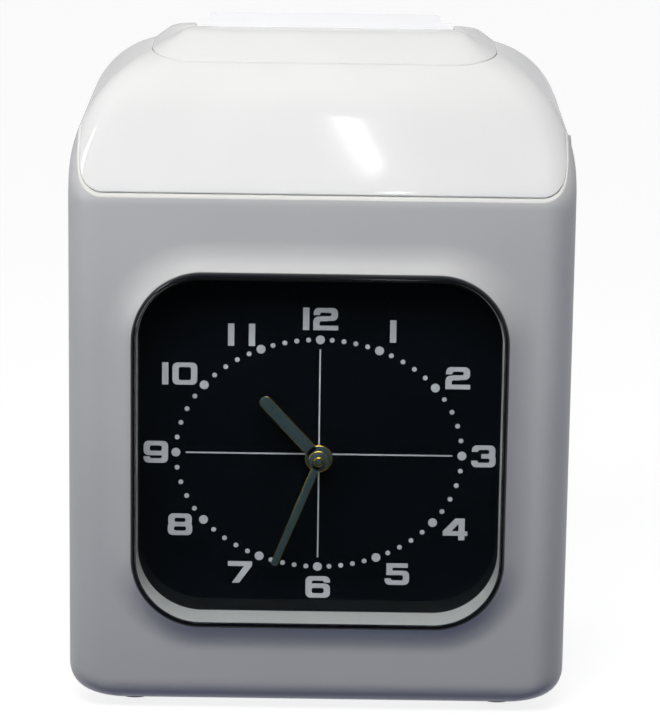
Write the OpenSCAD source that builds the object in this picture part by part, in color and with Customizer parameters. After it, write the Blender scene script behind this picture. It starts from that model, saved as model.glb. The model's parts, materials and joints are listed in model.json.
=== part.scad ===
// Time clock for punch cards: moulded case, lift-off cover, dial clock, card path and dot printer
// X runs to the right, Y to the back and Z up, with the origin on the table under the middle

/* [Housing] */
// Width across the side walls
body_w = 184; // [178:1:196]
// Depth from the front wall to the back wall
body_d = 124; // [120:1:136]
// Height of the housing's top above the table
body_h = 243; // [238:1:252]
// Thickness of the moulded walls
wall = 2.5; // [2:0.1:3]
// Radius of the shoulders, seen from the front
shoulder_r = 42; // [34:1:46]
// Radius of the lower corners, seen from the front
base_r = 13; // [8:1:18]
// Radius of the upright edges at the front
front_edge_r = 12; // [8:1:15]
// Radius of the upright edges at the back
rear_edge_r = 10; // [6:1:14]
// Radius of the edge between front wall and floor
toe_r = 9; // [5:1:12]
// Radius of the edge between back wall and floor
heel_r = 5; // [3:0.5:9]
// Height over which the front leans back
lean_drop = 44; // [40:1:48]
// Depth over which the front leans back
lean_d = 34; // [28:1:38]
// Radius at the foot of the lean
lean_foot_r = 25; // [15:1:30]
// Radius at the head of the lean
lean_head_r = 50; // [30:1:60]
// Radius over the back of the top
rear_top_r = 42; // [20:1:46]
// Depth of the rear case ahead of the back wall
rear_case_d = 36; // [32:1:40]

/* [Cover] */
// Distance of the cover's lower edge below the top
seam_drop = 47; // [45:1:51]
// Inset of the cover's side edges from the side walls
cover_in = 4; // [3.5:0.5:8]
// Radius of the cover's lower corners
cover_corner_r = 9; // [5:1:12]
// Gap along the cover's edge
seam_gap = 0.5; // [0.3:0.1:0.8]
// Width of the tongues that locate the cover
tongue_w = 14; // [8:1:20]
// Thickness of those tongues
tongue_t = 2; // [1.4:0.1:2.4]

/* [Card throat] */
// Width of the raised throat
throat_w = 128; // [122:1:130]
// Distance of the throat's front edge ahead of the card
throat_ahead = 25; // [22:1:28]
// Length of the throat from front to back
throat_l = 62; // [56:1:66]
// Height of the throat's crest above the housing's top
throat_rise = 4; // [3:0.5:6]
// Radius of the throat's crown ahead of its crest
throat_front_crown_r = 40; // [34:1:46]
// Radius of the throat's crown behind its crest
throat_rear_crown_r = 85; // [75:1:95]
// Width of the throat's level top
throat_flat_w = 100; // [96:1:106]
// Radius of the throat's front corners, seen from above
throat_front_r = 17; // [10:1:22]
// Radius of the throat's rear corners, seen from above
throat_rear_r = 8; // [4:1:12]
// Width of the card slot
slot_w = 97; // [92:1:99]
// Depth of the slot's level mouth from front to back
slot_mouth = 11; // [10:0.5:12]

/* [Dial and lens] */
// Width of the front wall beside the lens
lens_side_gap = 23.5; // [22:0.5:28]
// Height of the front wall between the lens and the cover
lens_top_gap = 28; // [26:0.5:31]
// Height of the lens's lower edge above the table
lens_foot = 34.5; // [32:0.5:38]
// Corner radius of the lens
lens_r = 26; // [20:1:32]
// How far the lens stands out from the front wall
lens_proud = 8; // [6:0.5:10]
// Thickness of the lens pane
pane_t = 2; // [1.5:0.1:2.5]
// Width of the lens rim
rim_w = 1.8; // [1.4:0.1:2.4]
// Radius round the lens front
lens_edge_r = 2.5; // [1:0.1:3.5]
// Width of the hollow collar round the lens
collar_w = 11; // [8:0.5:13]
// Height of that collar above the front wall
collar_h = 4; // [2:0.5:5]
// Wall of the dial recess outside the lens outline
tub_t = 0.8; // [0.6:0.1:1.4]
// Depth of the dial behind the front wall
dial_depth = 11; // [9:0.5:13]
// Distance of the hands' axis below the middle of the lens
dial_drop = 4.25; // [2:0.25:6]
// Thickness of the dial sheet
dial_t = 1; // [0.8:0.1:1.5]
// Overlap of the dial on the recess wall
dial_lap = 2; // [1.5:0.1:2.5]

/* [Hands] */
// Length of the hour hand
hour_hand_l = 31; // [26:1:36]
// Width of the hour hand
hour_hand_w = 4.9; // [4:0.1:6]
// Length of the minute hand
minute_hand_l = 42.6; // [38:0.1:48]
// Width of the minute hand at its middle
minute_hand_w = 3; // [2.4:0.1:4]
// Height of the hour hand above the dial
hour_hand_rise = 6.7; // [6:0.1:7.5]
// Height of the minute hand above the dial
minute_hand_rise = 10; // [9.5:0.1:11]
// Thickness of the hands
hand_t = 0.5; // [0.4:0.1:0.8]
// Minutes shown past ten
minutes_shown = 34; // [0:1:59]

/* [Clock train] */
// Tooth module of cannon pinion and minute wheel
minute_module = 0.625; // [0.6:0.005:0.65]
// Tooth module of the driving pair at the centre wheel
drive_module = 0.75; // [0.7:0.01:0.8]
// Teeth of every pinion
pinion_teeth = 12; // [12:1:12]
// Teeth of the minute wheel
minute_teeth = 36; // [36:1:36]
// Teeth of the hour wheel
hour_teeth = 48; // [48:1:48]
// Teeth of the centre wheel
centre_teeth = 48; // [44:4:52]
// Gap between the flanks of meshing teeth
backlash = 0.12; // [0.08:0.01:0.16]
// Radius of the centre arbor
arbor_r = 1; // [0.8:0.05:1.2]
// Radial clearance of turning shafts
run_gap = 0.06; // [0.04:0.01:0.08]
// Side of the square clock plates
plate_w = 66; // [64:1:72]
// Thickness of the clock plates
plate_t = 1.2; // [1:0.1:1.6]
// Room between dial and front clock plate
motion_room = 10; // [9.5:0.1:11]
// Room between the clock plates
train_room = 12.8; // [11:0.1:14]
// Radius of the pillars between the plates
pillar_r = 2.5; // [2:0.1:3]
// Radius of the clock motor
clock_motor_r = 14; // [11:0.5:16]
// Length of the clock motor
clock_motor_l = 12; // [9:0.5:12]

/* [Chassis and card path] */
// Inner width of the sheet chassis
chassis_w = 122; // [118:1:124]
// Thickness of the chassis sheet
sheet_t = 1.2; // [1:0.1:1.6]
// Distance of the chassis side plates' top below the housing's top
chassis_drop = 21; // [19:1:23]
// Height of the printer deck above the dial recess
deck_rise = 9; // [7:0.5:10]
// Distance of the front card guide ahead of the back wall
card_back_d = 59; // [57:0.5:61]
// Clear room for the card between the guides
card_room = 5.8; // [5:0.1:6.5]
// Height of the rear guide's lip above the throat
lip_rise = 4; // [2:0.5:5]
// Width of that lip
lip_w = 86.6; // [80:0.1:90]
// Distance of the print line below the housing's top
print_drop = 42; // [40:1:44]
// Distance of the card rest below the print line
rest_drop = 93; // [88:1:98]
// Travel of the card rest
rest_travel = 60; // [40:1:62]
// Radius of the lifting screw
screw_r = 3; // [2.5:0.1:3.5]
// Radius of the lift motor
lift_motor_r = 15; // [12:0.5:16]
// Length of the lift motor
lift_motor_l = 24; // [20:1:28]

/* [Printer] */
// Radius of the two guide shafts
shaft_r = 3; // [2.5:0.1:3.5]
// Distance between the guide shafts
shaft_pitch = 14; // [12:0.5:16]
// Width of the print carriage
carriage_w = 40; // [36:1:44]
// Travel of the carriage to each side
carriage_travel = 28; // [20:1:30]
// Width of the print head
head_w = 24; // [20:1:28]
// Radius of the belt pulleys
pulley_r = 6; // [5:0.1:7]
// Thickness of the belt
belt_t = 0.8; // [0.6:0.1:1]
// Radius of the carriage motor
carriage_motor_r = 14; // [12:0.5:16]
// Length of the carriage motor
carriage_motor_l = 18; // [14:1:20]
// Radius of the ribbon spools
spool_r = 9; // [7:0.5:10]

/* [Controls] */
// Width of the setting panel under the cover
panel_w = 118; // [110:1:124]
// Depth of the setting panel
panel_d = 17; // [16:0.5:18]
// Height of the panel above the dial recess
panel_rise = 14; // [12:0.5:16]
// Width of a setting button
button_w = 9; // [7:0.5:11]
// Travel of a setting button
button_travel = 1.2; // [0.8:0.1:1.5]
// Distance between the setting buttons
button_pitch = 14; // [12.5:0.5:16]
// Radius of the lock plug
lock_r = 5; // [4:0.1:6]
// Depth of the lock behind the front wall
lock_d = 48; // [46:1:52]
// Distance of the lock below the housing's top
lock_drop = 40; // [38.5:0.5:42]
// Length of the lock cam
cam_l = 15; // [14:0.5:16]

/* [Supply and mounting] */
// Height of the feet
foot_h = 3; // [2:0.5:4]
// Radius of the feet
foot_r = 7; // [5:0.5:9]
// Distance between the wall keyholes
keyhole_pitch = 90; // [80:1:110]
// Distance of the wall keyholes below the housing's top
keyhole_drop = 75; // [68:1:83]
// Radius of a keyhole's entry
keyhole_r = 4.5; // [4:0.1:5.5]
// Width of a keyhole's slot
keyhole_slot_w = 4.6; // [4:0.1:5]
// Radius of the cord bush's hole
cord_r = 3.5; // [3:0.1:4]
// Radius of the case screws
case_screw_r = 1.5; // [1.25:0.05:2]
// Clearance between pieces that move past each other
move_gap = 0.4; // [0.3:0.05:0.5]

/* [Hidden] */
$fn = 64;

// Main planes of the housing
front_y = (lens_proud - body_d) / 2;
back_y = front_y + body_d;
floor_z = foot_h;
inner_floor_z = floor_z + wall;
split_y = back_y - rear_case_d;
side_x = body_w / 2;
seam_z = body_h - seam_drop;
lean_z = body_h - lean_drop;
cover_w = body_w - 2 * cover_in;
eps = 0.01;

// Outlines of the housing from above, from the front and from the side, each with its corner radii
plan_points = [[-side_x, front_y], [side_x, front_y], [side_x, back_y], [-side_x, back_y]];
plan_radii = [front_edge_r, front_edge_r, rear_edge_r, rear_edge_r];
front_points = [[-side_x, floor_z], [side_x, floor_z], [side_x, body_h], [-side_x, body_h]];
front_radii = [base_r, base_r, shoulder_r, shoulder_r];
side_points = [[front_y, floor_z], [back_y, floor_z], [back_y, body_h], [front_y + lean_d, body_h],
    [front_y, lean_z]];
side_radii = [toe_r, heel_r, rear_top_r, lean_head_r, lean_foot_r];

// Outline of the cover from the front; it runs on above the housing
cover_points = [[-cover_w / 2, seam_z], [cover_w / 2, seam_z], [cover_w / 2, 2 * body_h],
    [-cover_w / 2, 2 * body_h]];
cover_radii = [cover_corner_r, cover_corner_r, 0, 0];
tongue_xs = [-55, 0, 55];
tongue_y = front_y + wall + 1;
tongue_root_z = seam_z + 6;
rear_ledge_z = seam_z - 7;
rear_ledge_t = 3;

// Outlines of the throat from above and from the front
card_front_y = back_y - card_back_d;
throat_y = card_front_y - throat_ahead;
throat_points = [[-throat_w / 2, throat_y], [throat_w / 2, throat_y], [throat_w / 2, throat_y + throat_l],
    [-throat_w / 2, throat_y + throat_l]];
throat_radii = [throat_front_r, throat_front_r, throat_rear_r, throat_rear_r];
throat_top_z = body_h + throat_rise;
throat_end_fall = throat_rise + 0.7;
throat_end_r = 30;
throat_crest_y = throat_y + 24;
throat_crest_d = 1;
throat_front_slope = 0.75;
throat_rear_slope = 0.5;
throat_front_knee_y = throat_crest_y - throat_crest_d / 2
    - throat_front_crown_r * tan(atan(throat_front_slope) / 2);
throat_rear_knee_y = throat_crest_y + throat_crest_d / 2
    + throat_rear_crown_r * tan(atan(throat_rear_slope) / 2);
throat_gap = 0.6;
throat_skirt = 8;
throat_foot_z = body_h - throat_skirt;
throat_leg_l = 4;
slot_depth = 6;

// Planes of the lens, the dial recess and the dial
lens_w = body_w - 2 * lens_side_gap;
lens_h = seam_z - lens_top_gap - lens_foot;
lens_z = lens_foot + lens_h / 2;
dial_z = lens_z - dial_drop;
lens_front_y = front_y - lens_proud;
lens_base_y = front_y - collar_h;
dial_y = front_y + dial_depth;
dial_back_y = dial_y + dial_t;
tub_top_z = lens_z + lens_h / 2 + tub_t;
collar_r = (collar_w * collar_w + collar_h * collar_h) / (2 * collar_h);
collar_trim = 0.8;
dial_ear_x = lens_w / 2 + tub_t + 4;
dial_ear_z = 35;
dial_ear_r = 4.5;
dial_screw_r = 1.25;
dial_screw_l = 5;

// Planes of the clock, from the dial to the back
hour_hand_y = dial_y - hour_hand_rise;
minute_hand_y = dial_y - minute_hand_rise;
clock_plate_y = dial_back_y + motion_room;
clock_back_y = clock_plate_y + plate_t + train_room;
hour_module = minute_module * (pinion_teeth + minute_teeth) / (pinion_teeth + hour_teeth);
motion_centre = minute_module * (pinion_teeth + minute_teeth) / 2;
drive_centre = drive_module * (pinion_teeth + centre_teeth) / 2;
gear_t = 2;
cannon_y = clock_plate_y - gear_t - 1;
hour_wheel_y = cannon_y - gear_t - 1.5;
centre_wheel_y = clock_plate_y + plate_t + 3.5;
cannon_r = arbor_r * 1.9;
tube_in_r = cannon_r + run_gap;
tube_out_r = tube_in_r + 0.9;
pillar_x = plate_w / 2 - pillar_r - 1.5;
minute_angle = minutes_shown * 6;
hour_angle = 300 + minutes_shown / 2;

// Planes of the chassis and the card path
chassis_x = chassis_w / 2;
chassis_top_z = body_h - chassis_drop;
print_z = body_h - print_drop;
rest_z = print_z - rest_drop;
deck_z = tub_top_z + deck_rise;
card_in_y = card_front_y + sheet_t;
card_out_y = card_in_y + card_room;
card_back_y = card_out_y + sheet_t;
chassis_front_y = card_front_y - 37;
chassis_leg_y = card_front_y - 14;
chassis_back_y = card_back_y + 19;
chassis_foot_z = inner_floor_z + 3;
lip_top_z = throat_top_z + lip_rise;
lip_corner_r = 2;
guide_shoulder_z = throat_top_z + 0.7;
guide_shoulder_w = slot_w - 1;
guide_shoulder_r = 0.6;
guide_top_z = throat_foot_z - 1;
window_h = 18;
window_x = carriage_travel + head_w / 2 + 6;
arm_x = 16;
arm_w = 5;
rest_h = 9;
screw_y = card_back_y + 8;
guide_rod_x = 12;
guide_rod_r = 2;
lift_bridge_z = deck_z - 4;
guide_foot_z = rest_z - 16;
chassis_screw_x = chassis_x - 12;
chassis_screw_ys = [chassis_leg_y + 6, chassis_back_y - 12];

// Planes of the printer
shaft_z = deck_z + 12;
shaft_y = card_front_y - 26;
carriage_side = 3;
carriage_bottom_z = shaft_z - shaft_r - 2;
carriage_top_z = shaft_z + shaft_r + 2;
head_top_z = print_z + 5;
belt_y = shaft_y + shaft_pitch / 2;
belt_bottom_z = deck_z + sheet_t + 0.6;
belt_h = 2.6;
belt_in_r = pulley_r + 0.3;
pulley_x = chassis_x - carriage_motor_r - 1;
spindle_r = 2;
ribbon_h = 11;
ribbon_x = window_x + 2;
cassette_z = head_top_z + 2;
cassette_h = 12;
cassette_y = card_front_y - 30;
cassette_d = 22;
cassette_wall = 1.5;
spool_x = 34;
spool_y = cassette_y + cassette_d / 2;
knob_r = spool_r / 2;

// Planes of the controls and fixings
panel_z = tub_top_z + panel_rise;
panel_y = front_y + wall + 1.2;
panel_t = 2;
panel_mid_y = panel_y + panel_d / 2;
panel_leg_x = 34;
panel_leg_w = 12;
last_button_x = panel_w / 2 - 12;
button_d = 7;
button_rise = 2.2;
display_w = panel_w / 2 - 8;
display_d = 10;
display_gap = 0.2;
flange_top_z = panel_z - panel_t - 0.3;
flange_t = 1;
switch_top_z = flange_top_z - flange_t - button_travel - 0.1;
switch_board_t = 1.2;
switch_h = 1.4;
lock_y = front_y + lock_d;
lock_z = body_h - lock_drop;
lock_shell_r = lock_r + run_gap + 2.4;
lock_face_x = side_x - 0.4;
lock_l = 16;
cam_w = 6;
cam_x = lock_face_x - lock_l - 0.4;
catch_y = lock_y + lock_shell_r + 1;
catch_d = 9;
catch_top_z = lock_z - cam_w / 2 - 1;
catch_t = 6;
boss_r = 4;
boss_x = side_x - wall - boss_r + 1;
boss_low_z = floor_z + base_r;
boss_high_z = seam_z - 12;
boss_l = 18;
screw_seat_y = split_y + 8;
board_y = back_y - wall - 18;
board_t = 1.6;
board_w = 110;
board_h = 108;
board_z = floor_z + 38;
board_hole_in = 6;
core_w = 40;
core_d = 17;
core_h = 30;
core_x = 22;
core_y = chassis_back_y + 3;
keyhole_z = body_h - keyhole_drop;
screw_head_h = 2;
cord_x = -45;
cord_z = floor_z + 18;
foot_in_x = 24;
foot_front_in = 22;
foot_back_in = 18;
pressure_angle = 25;

// Direction from corner k of an outline towards its neighbour
function corner(points, k) = points[(k + len(points)) % len(points)];
function toward(points, k, step) = let (d = corner(points, k + step) - corner(points, k)) d / norm(d);
function half_angle(points, k) = acos(toward(points, k, 1) * toward(points, k, -1)) / 2;
function inward(points, k) = let (d = toward(points, k, 1) + toward(points, k, -1)) d / norm(d);
function inset_corner(points, k, inset) =
    corner(points, k) + inward(points, k) * inset / sin(half_angle(points, k));

// Draws a convex outline, moved in by inset, with each corner rounded about the same centre
module rounded_outline(points, radii, inset = 0) {
    corners = [for (k = [0:len(points) - 1]) inset_corner(points, k, inset)];
    difference() {
        polygon(corners);
        for (k = [0:len(points) - 1])
            if (radii[k] - inset > 0.2) corner_sliver(corners, k, radii[k] - inset);
    }
}

// The tip of corner k that lies outside a rounding of radius r
module corner_sliver(points, k, r) {
    tip = corner(points, k);
    half = half_angle(points, k);
    centre = tip + inward(points, k) * r / sin(half);
    reach = r / tan(half);
    difference() {
        polygon([tip - inward(points, k), tip + toward(points, k, 1) * reach, centre,
            tip + toward(points, k, -1) * reach]);
        translate(centre) circle(r, $fn = 128);
    }
}

// Stands an XZ outline up and carries it from one Y to another
module along_y(from, to) {
    translate([0, to, 0]) rotate([90, 0, 0]) linear_extrude(to - from) children();
}

// Stands a YZ outline up and carries it from one X to another
module along_x(from, to) {
    translate([from, 0, 0]) rotate([90, 0, 90]) linear_extrude(to - from) children();
}

// Lays an XY outline flat and carries it from one Z to another
module along_z(from, to) {
    translate([0, 0, from]) linear_extrude(to - from) children();
}

// A rounded rectangle about the origin
module rounded_rect(w, h, r) {
    rounded_outline([[-w / 2, -h / 2], [w / 2, -h / 2], [w / 2, h / 2], [-w / 2, h / 2]], [r, r, r, r]);
}

// The lens outline in the XZ plane, grown outward
module lens_outline(grow = 0) {
    translate([0, lens_z]) rounded_rect(lens_w + 2 * grow, lens_h + 2 * grow, lens_r + grow);
}

// Carries a profile round the grown lens outline; x of the profile points outward and y to the front
module round_lens(grow, y) {
    w = lens_w + 2 * grow;
    h = lens_h + 2 * grow;
    r = lens_r + grow;
    translate([0, y, lens_z]) rotate([90, 0, 0]) {
        for (turn = [0:3]) {
            across = turn % 2 == 0 ? w : h;
            tall = turn % 2 == 0 ? h : w;
            rotate(90 * turn) translate([r - across / 2, tall / 2, 0]) rotate([90, 0, 90])
                linear_extrude(across - 2 * r) children();
            rotate(90 * turn) translate([across / 2 - r, tall / 2 - r, 0])
                rotate_extrude(angle = 90) translate([r, 0]) children();
        }
    }
}

// Rods along each axis, given by two end values
module rod_y(x, z, r, from, to) {
    translate([x, from, z]) rotate([-90, 0, 0]) cylinder(r = r, h = to - from);
}
module rod_x(y, z, r, from, to) {
    translate([from, y, z]) rotate([0, 90, 0]) cylinder(r = r, h = to - from);
}
module rod_z(x, y, r, from, to) {
    translate([x, y, from]) cylinder(r = r, h = to - from);
}
module box(x0, x1, y0, y1, z0, z1) {
    translate([x0, y0, z0]) cube([x1 - x0, y1 - y0, z1 - z0]);
}
module both_sides() {
    children();
    mirror([1, 0, 0]) children();
}

// The housing as one rounded block, moved in by inset
module housing_block(inset = 0) {
    intersection() {
        along_z(0, body_h) rounded_outline(plan_points, plan_radii, inset);
        along_y(front_y - 1, back_y + 1) rounded_outline(front_points, front_radii, inset);
        along_x(-side_x - 1, side_x + 1) rounded_outline(side_points, side_radii, inset);
    }
}
module housing_shell() {
    difference() {
        housing_block();
        housing_block(wall);
    }
}
module cover_space(grow = 0) {
    along_y(front_y - 1, back_y + 1) rounded_outline(cover_points, cover_radii, -grow);
}
module throat_space(grow = 0) {
    along_z(throat_foot_z - 1, 2 * body_h) rounded_outline(throat_points, throat_radii, -grow);
}

// Bosses where the case screws hold front and rear case together
module at_case_screws() {
    for (x = [-boss_x, boss_x], z = [boss_low_z, boss_high_z]) translate([x, 0, z]) children();
}

// Bosses on the floor that carry the chassis
module at_chassis_screws() {
    for (x = [-chassis_screw_x, chassis_screw_x], y = chassis_screw_ys) translate([x, y, 0]) children();
}

// Posts that carry the main board
module at_board_posts() {
    across = board_w / 2 - board_hole_in;
    for (x = [-across, across], z = [board_z + board_hole_in, board_z + board_h - board_hole_in])
        translate([x, 0, z]) children();
}

// Ears where the dial is screwed to the front case
module at_dial_ears() {
    for (x = [-dial_ear_x, dial_ear_x], z = [lens_z - dial_ear_z, lens_z + dial_ear_z])
        translate([x, 0, z]) children();
}

module front_case() {
    color("#c9cbd0") difference() {
        union() {
            difference() {
                housing_shell();
                box(-body_w, body_w, split_y, 2 * back_y, -1, 2 * body_h);
                cover_space(seam_gap);
            }
            difference() {
                along_y(lens_base_y, front_y + wall / 2) lens_outline(collar_w - collar_trim);
                round_lens(collar_w, front_y) translate([0, collar_r]) circle(collar_r);
            }
            along_y(lens_base_y, dial_y) lens_outline(tub_t);
            at_dial_ears() rod_y(0, 0, dial_ear_r - 1, front_y + wall / 2, dial_y);
            at_case_screws() rod_y(0, 0, boss_r, split_y - boss_l, split_y);
            at_chassis_screws() rod_z(0, 0, boss_r, inner_floor_z - 1, chassis_foot_z);
        }
        at_chassis_screws() rod_z(0, 0, case_screw_r, inner_floor_z, chassis_foot_z + 1);
        along_y(lens_base_y - 1, dial_y + 1) lens_outline(-rim_w);
        at_dial_ears() rod_y(0, 0, dial_screw_r, dial_y - dial_screw_l - 1, dial_y + 1);
        at_case_screws() rod_y(0, 0, case_screw_r, split_y - boss_l + 2, split_y + 1);
        rod_x(lock_y, lock_z, lock_shell_r + run_gap, side_x - 3 * wall, side_x + 1);
    }
}

module rear_case() {
    color("#c4c6cb") difference() {
        union() {
            difference() {
                housing_shell();
                box(-body_w, body_w, 2 * front_y, split_y, -1, 2 * body_h);
                cover_space(seam_gap);
            }
            intersection() {
                housing_block();
                at_case_screws() rod_y(0, 0, boss_r + 1, split_y, back_y);
            }
            at_board_posts() rod_y(0, 0, 3, board_y + board_t, back_y - wall / 2);
            for (x = tongue_xs)
                box(x - tongue_w / 2, x + tongue_w / 2, back_y - wall - 2 * tongue_t, back_y - wall / 2,
                    rear_ledge_z - rear_ledge_t, rear_ledge_z);
        }
        at_case_screws() rod_y(0, 0, case_screw_r + 0.2, split_y - 1, back_y + 1);
        at_case_screws() rod_y(0, 0, 2 * case_screw_r + 0.3, screw_seat_y, back_y + 1);
        for (x = [-keyhole_pitch / 2, keyhole_pitch / 2]) {
            rod_y(x, keyhole_z, keyhole_r, back_y - 2 * wall, back_y + 1);
            rod_y(x, keyhole_z + 2 * keyhole_r, keyhole_slot_w / 2, back_y - 2 * wall, back_y + 1);
            box(x - keyhole_slot_w / 2, x + keyhole_slot_w / 2, back_y - 2 * wall, back_y + 1, keyhole_z,
                keyhole_z + 2 * keyhole_r);
        }
        rod_y(cord_x, cord_z, cord_r + 2, back_y - 2 * wall, back_y + 1);
    }
}

// Tongues inside the cover's edges: they stand on the setting panel and on the rear ledges
module cover_tongues() {
    rear_y = back_y - wall - seam_gap;
    for (x = tongue_xs) {
        box(x - tongue_w / 2, x + tongue_w / 2, tongue_y, tongue_y + tongue_t, panel_z, tongue_root_z);
        box(x - tongue_w / 2, x + tongue_w / 2, rear_y - tongue_t, rear_y, rear_ledge_z, tongue_root_z);
        box(x - tongue_w / 2, x + tongue_w / 2, rear_y - tongue_t, back_y, seam_z + 1, tongue_root_z);
    }
}

// Arm that hangs from the cover with the ledge that the lock cam holds down
module cover_catch() {
    box(cam_x + 4, cam_x + 7, catch_y, catch_y + catch_d, catch_top_z - catch_t, body_h);
    box(cam_x - 3, cam_x + 7, catch_y, catch_y + catch_d, catch_top_z - catch_t, catch_top_z);
}

module upper_cover() {
    color("#f2f2f0") {
        difference() {
            union() {
                intersection() {
                    housing_shell();
                    cover_space();
                }
                intersection() {
                    housing_block(wall / 2);
                    union() {
                        cover_tongues();
                        cover_catch();
                    }
                }
            }
            throat_space(throat_gap);
        }
    }
}

// The throat block, moved in by inset: a crown from front to back that falls away at both ends
module throat_block(inset = 0) {
    ends = throat_flat_w / 2;
    low_z = throat_foot_z - wall - 1;
    end_z = throat_top_z - throat_end_fall;
    fore_y = throat_y - 1;
    rear_y = throat_y + throat_l + 1;
    fore_z = throat_top_z - (throat_front_knee_y - fore_y) * throat_front_slope;
    rear_z = throat_top_z - (rear_y - throat_rear_knee_y) * throat_rear_slope;
    intersection() {
        along_z(throat_foot_z, 2 * body_h) rounded_outline(throat_points, throat_radii, inset);
        along_y(fore_y, rear_y) rounded_outline(
            [[-throat_w / 2, low_z], [throat_w / 2, low_z], [throat_w / 2, end_z], [ends, throat_top_z],
            [-ends, throat_top_z], [-throat_w / 2, end_z]],
            [0, 0, 0, throat_end_r, throat_end_r, 0], inset);
        along_x(-side_x, side_x) rounded_outline(
            [[fore_y, low_z], [rear_y, low_z], [rear_y, rear_z], [throat_rear_knee_y, throat_top_z],
            [throat_front_knee_y, throat_top_z], [fore_y, fore_z]],
            [0, 0, 0, throat_rear_crown_r, throat_front_crown_r, 0], inset);
    }
}

module card_throat() {
    slot_mid_y = (card_in_y + card_back_y) / 2;
    color("#f0f0ee") difference() {
        union() {
            difference() {
                throat_block();
                throat_block(wall);
            }
            both_sides() box(chassis_x, throat_w / 2 - 1, chassis_leg_y, chassis_back_y - 6,
                chassis_top_z, throat_foot_z + throat_leg_l);
        }
        along_x(-slot_w / 2, slot_w / 2) polygon([
            [card_in_y - throat_gap, throat_top_z - slot_depth],
            [card_back_y + throat_gap, throat_top_z - slot_depth],
            [slot_mid_y + slot_mouth / 2, throat_top_z + 1],
            [slot_mid_y - slot_mouth / 2, throat_top_z + 1]]);
    }
}

module lens() {
    color("#ccd8dc", 0.35) difference() {
        along_y(lens_front_y, lens_base_y) lens_outline();
        along_y(lens_front_y + pane_t, lens_base_y + 1) lens_outline(-rim_w);
        round_lens(0, lens_front_y) translate([-lens_edge_r, -lens_edge_r]) difference() {
            square(lens_edge_r + 1);
            circle(lens_edge_r);
        }
    }
}

module dial() {
    color("#101418") difference() {
        union() {
            along_y(dial_y, dial_back_y) lens_outline(dial_lap - rim_w);
            at_dial_ears() rod_y(0, 0, dial_ear_r, dial_y, dial_back_y);
            for (z = [lens_z - dial_ear_z, lens_z + dial_ear_z])
                box(-dial_ear_x, dial_ear_x, dial_y, dial_back_y, z - dial_ear_r, z + dial_ear_r);
        }
        at_dial_ears() rod_y(0, 0, dial_screw_r + 0.2, dial_y - 1, dial_back_y + 1);
        rod_y(0, dial_z, tube_out_r + 1, dial_y - 1, dial_back_y + 1);
    }
}

// A hand lying on the dial axis with its tip at the given clock angle
module hand_at(angle, y) {
    translate([0, y, dial_z]) rotate([0, angle, 0]) along_y(0, hand_t) children();
}

module hour_hand() {
    tip = hour_hand_w / 2;
    color("#8a7a4a") difference() {
        hand_at(hour_angle, hour_hand_y) {
            circle(hour_hand_w + 0.3);
            translate([-tip, 0]) square([2 * tip, hour_hand_l - tip]);
            translate([0, hour_hand_l - tip]) circle(tip);
        }
        rod_y(0, dial_z, tube_out_r, hour_hand_y - 1, hour_hand_y + 1);
    }
}

module minute_hand() {
    half = minute_hand_w / 2;
    tip = half * 0.6;
    color("#8a7a4a") difference() {
        hand_at(minute_angle, minute_hand_y) {
            circle(minute_hand_w + 0.9);
            polygon([[-half, 0], [half, 0], [half, minute_hand_l * 0.5], [tip, minute_hand_l - tip],
                [-tip, minute_hand_l - tip], [-half, minute_hand_l * 0.5]]);
            translate([0, minute_hand_l - tip]) circle(tip);
        }
        rod_y(0, dial_z, arbor_r, minute_hand_y - 1, minute_hand_y + 1);
    }
}

module hand_nut() {
    nut_r = 2 * arbor_r;
    color("#c9a64a") difference() {
        rod_y(0, dial_z, nut_r, minute_hand_y - 1.4, minute_hand_y);
        rod_y(0, dial_z, arbor_r, minute_hand_y - 0.8, minute_hand_y + 1);
    }
}

// Involute teeth: half the angle that a tooth spans at radius r, falling from its pitch value
function involute(angle) = tan(angle) * 180 / PI - angle;
function tooth_half(teeth, size, r) =
    let (pitch_r = teeth * size / 2, base_circle_r = pitch_r * cos(pressure_angle))
    (90 - backlash * 90 / (PI * size)) / teeth + involute(pressure_angle)
    - involute(acos(min(1, base_circle_r / r)));
module toothed_disc(teeth, size, phase = 0) {
    pitch_r = teeth * size / 2;
    base_circle_r = pitch_r * cos(pressure_angle);
    root_r = pitch_r - 1.2 * size;
    tip_r = pitch_r + 0.9 * size;
    radii = root_r < base_circle_r
        ? [root_r, base_circle_r, pitch_r, tip_r]
        : [root_r, pitch_r, tip_r];
    last = len(radii) - 1;
    polygon([for (tooth = [0:teeth - 1], k = [0:2 * last + 1])
        let (r = radii[k <= last ? k : 2 * last + 1 - k],
            turn = phase + tooth * 360 / teeth + (k <= last ? -1 : 1) * tooth_half(teeth, size, r))
        r * [cos(turn), sin(turn)]]);
}

// A wheel on an axis along Y; the phase turns its first tooth clockwise from three o'clock
module wheel(x, z, y, t, teeth, size, phase = 0) {
    translate([x, y, z]) rotate([-90, 0, 0]) linear_extrude(t) toothed_disc(teeth, size, phase);
}

module minute_arbor() {
    color("#c9a64a") {
        rod_y(0, dial_z, arbor_r, minute_hand_y - 0.8, clock_back_y + plate_t);
        rod_y(0, dial_z, cannon_r, minute_hand_y + hand_t, cannon_y + gear_t);
        wheel(0, dial_z, cannon_y, gear_t, pinion_teeth, minute_module);
        difference() {
            wheel(0, dial_z, centre_wheel_y, gear_t, centre_teeth, drive_module, 90);
            for (turn = [0:3]) rotate_about(turn * 90 + 45, centre_teeth * drive_module / 4)
                rod_y(0, 0, centre_teeth * drive_module / 11, centre_wheel_y - 1,
                    centre_wheel_y + gear_t + 1);
        }
        rod_y(0, dial_z, 2.5 * arbor_r, centre_wheel_y - 1.5, centre_wheel_y + gear_t + 1.5);
    }
}

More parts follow.
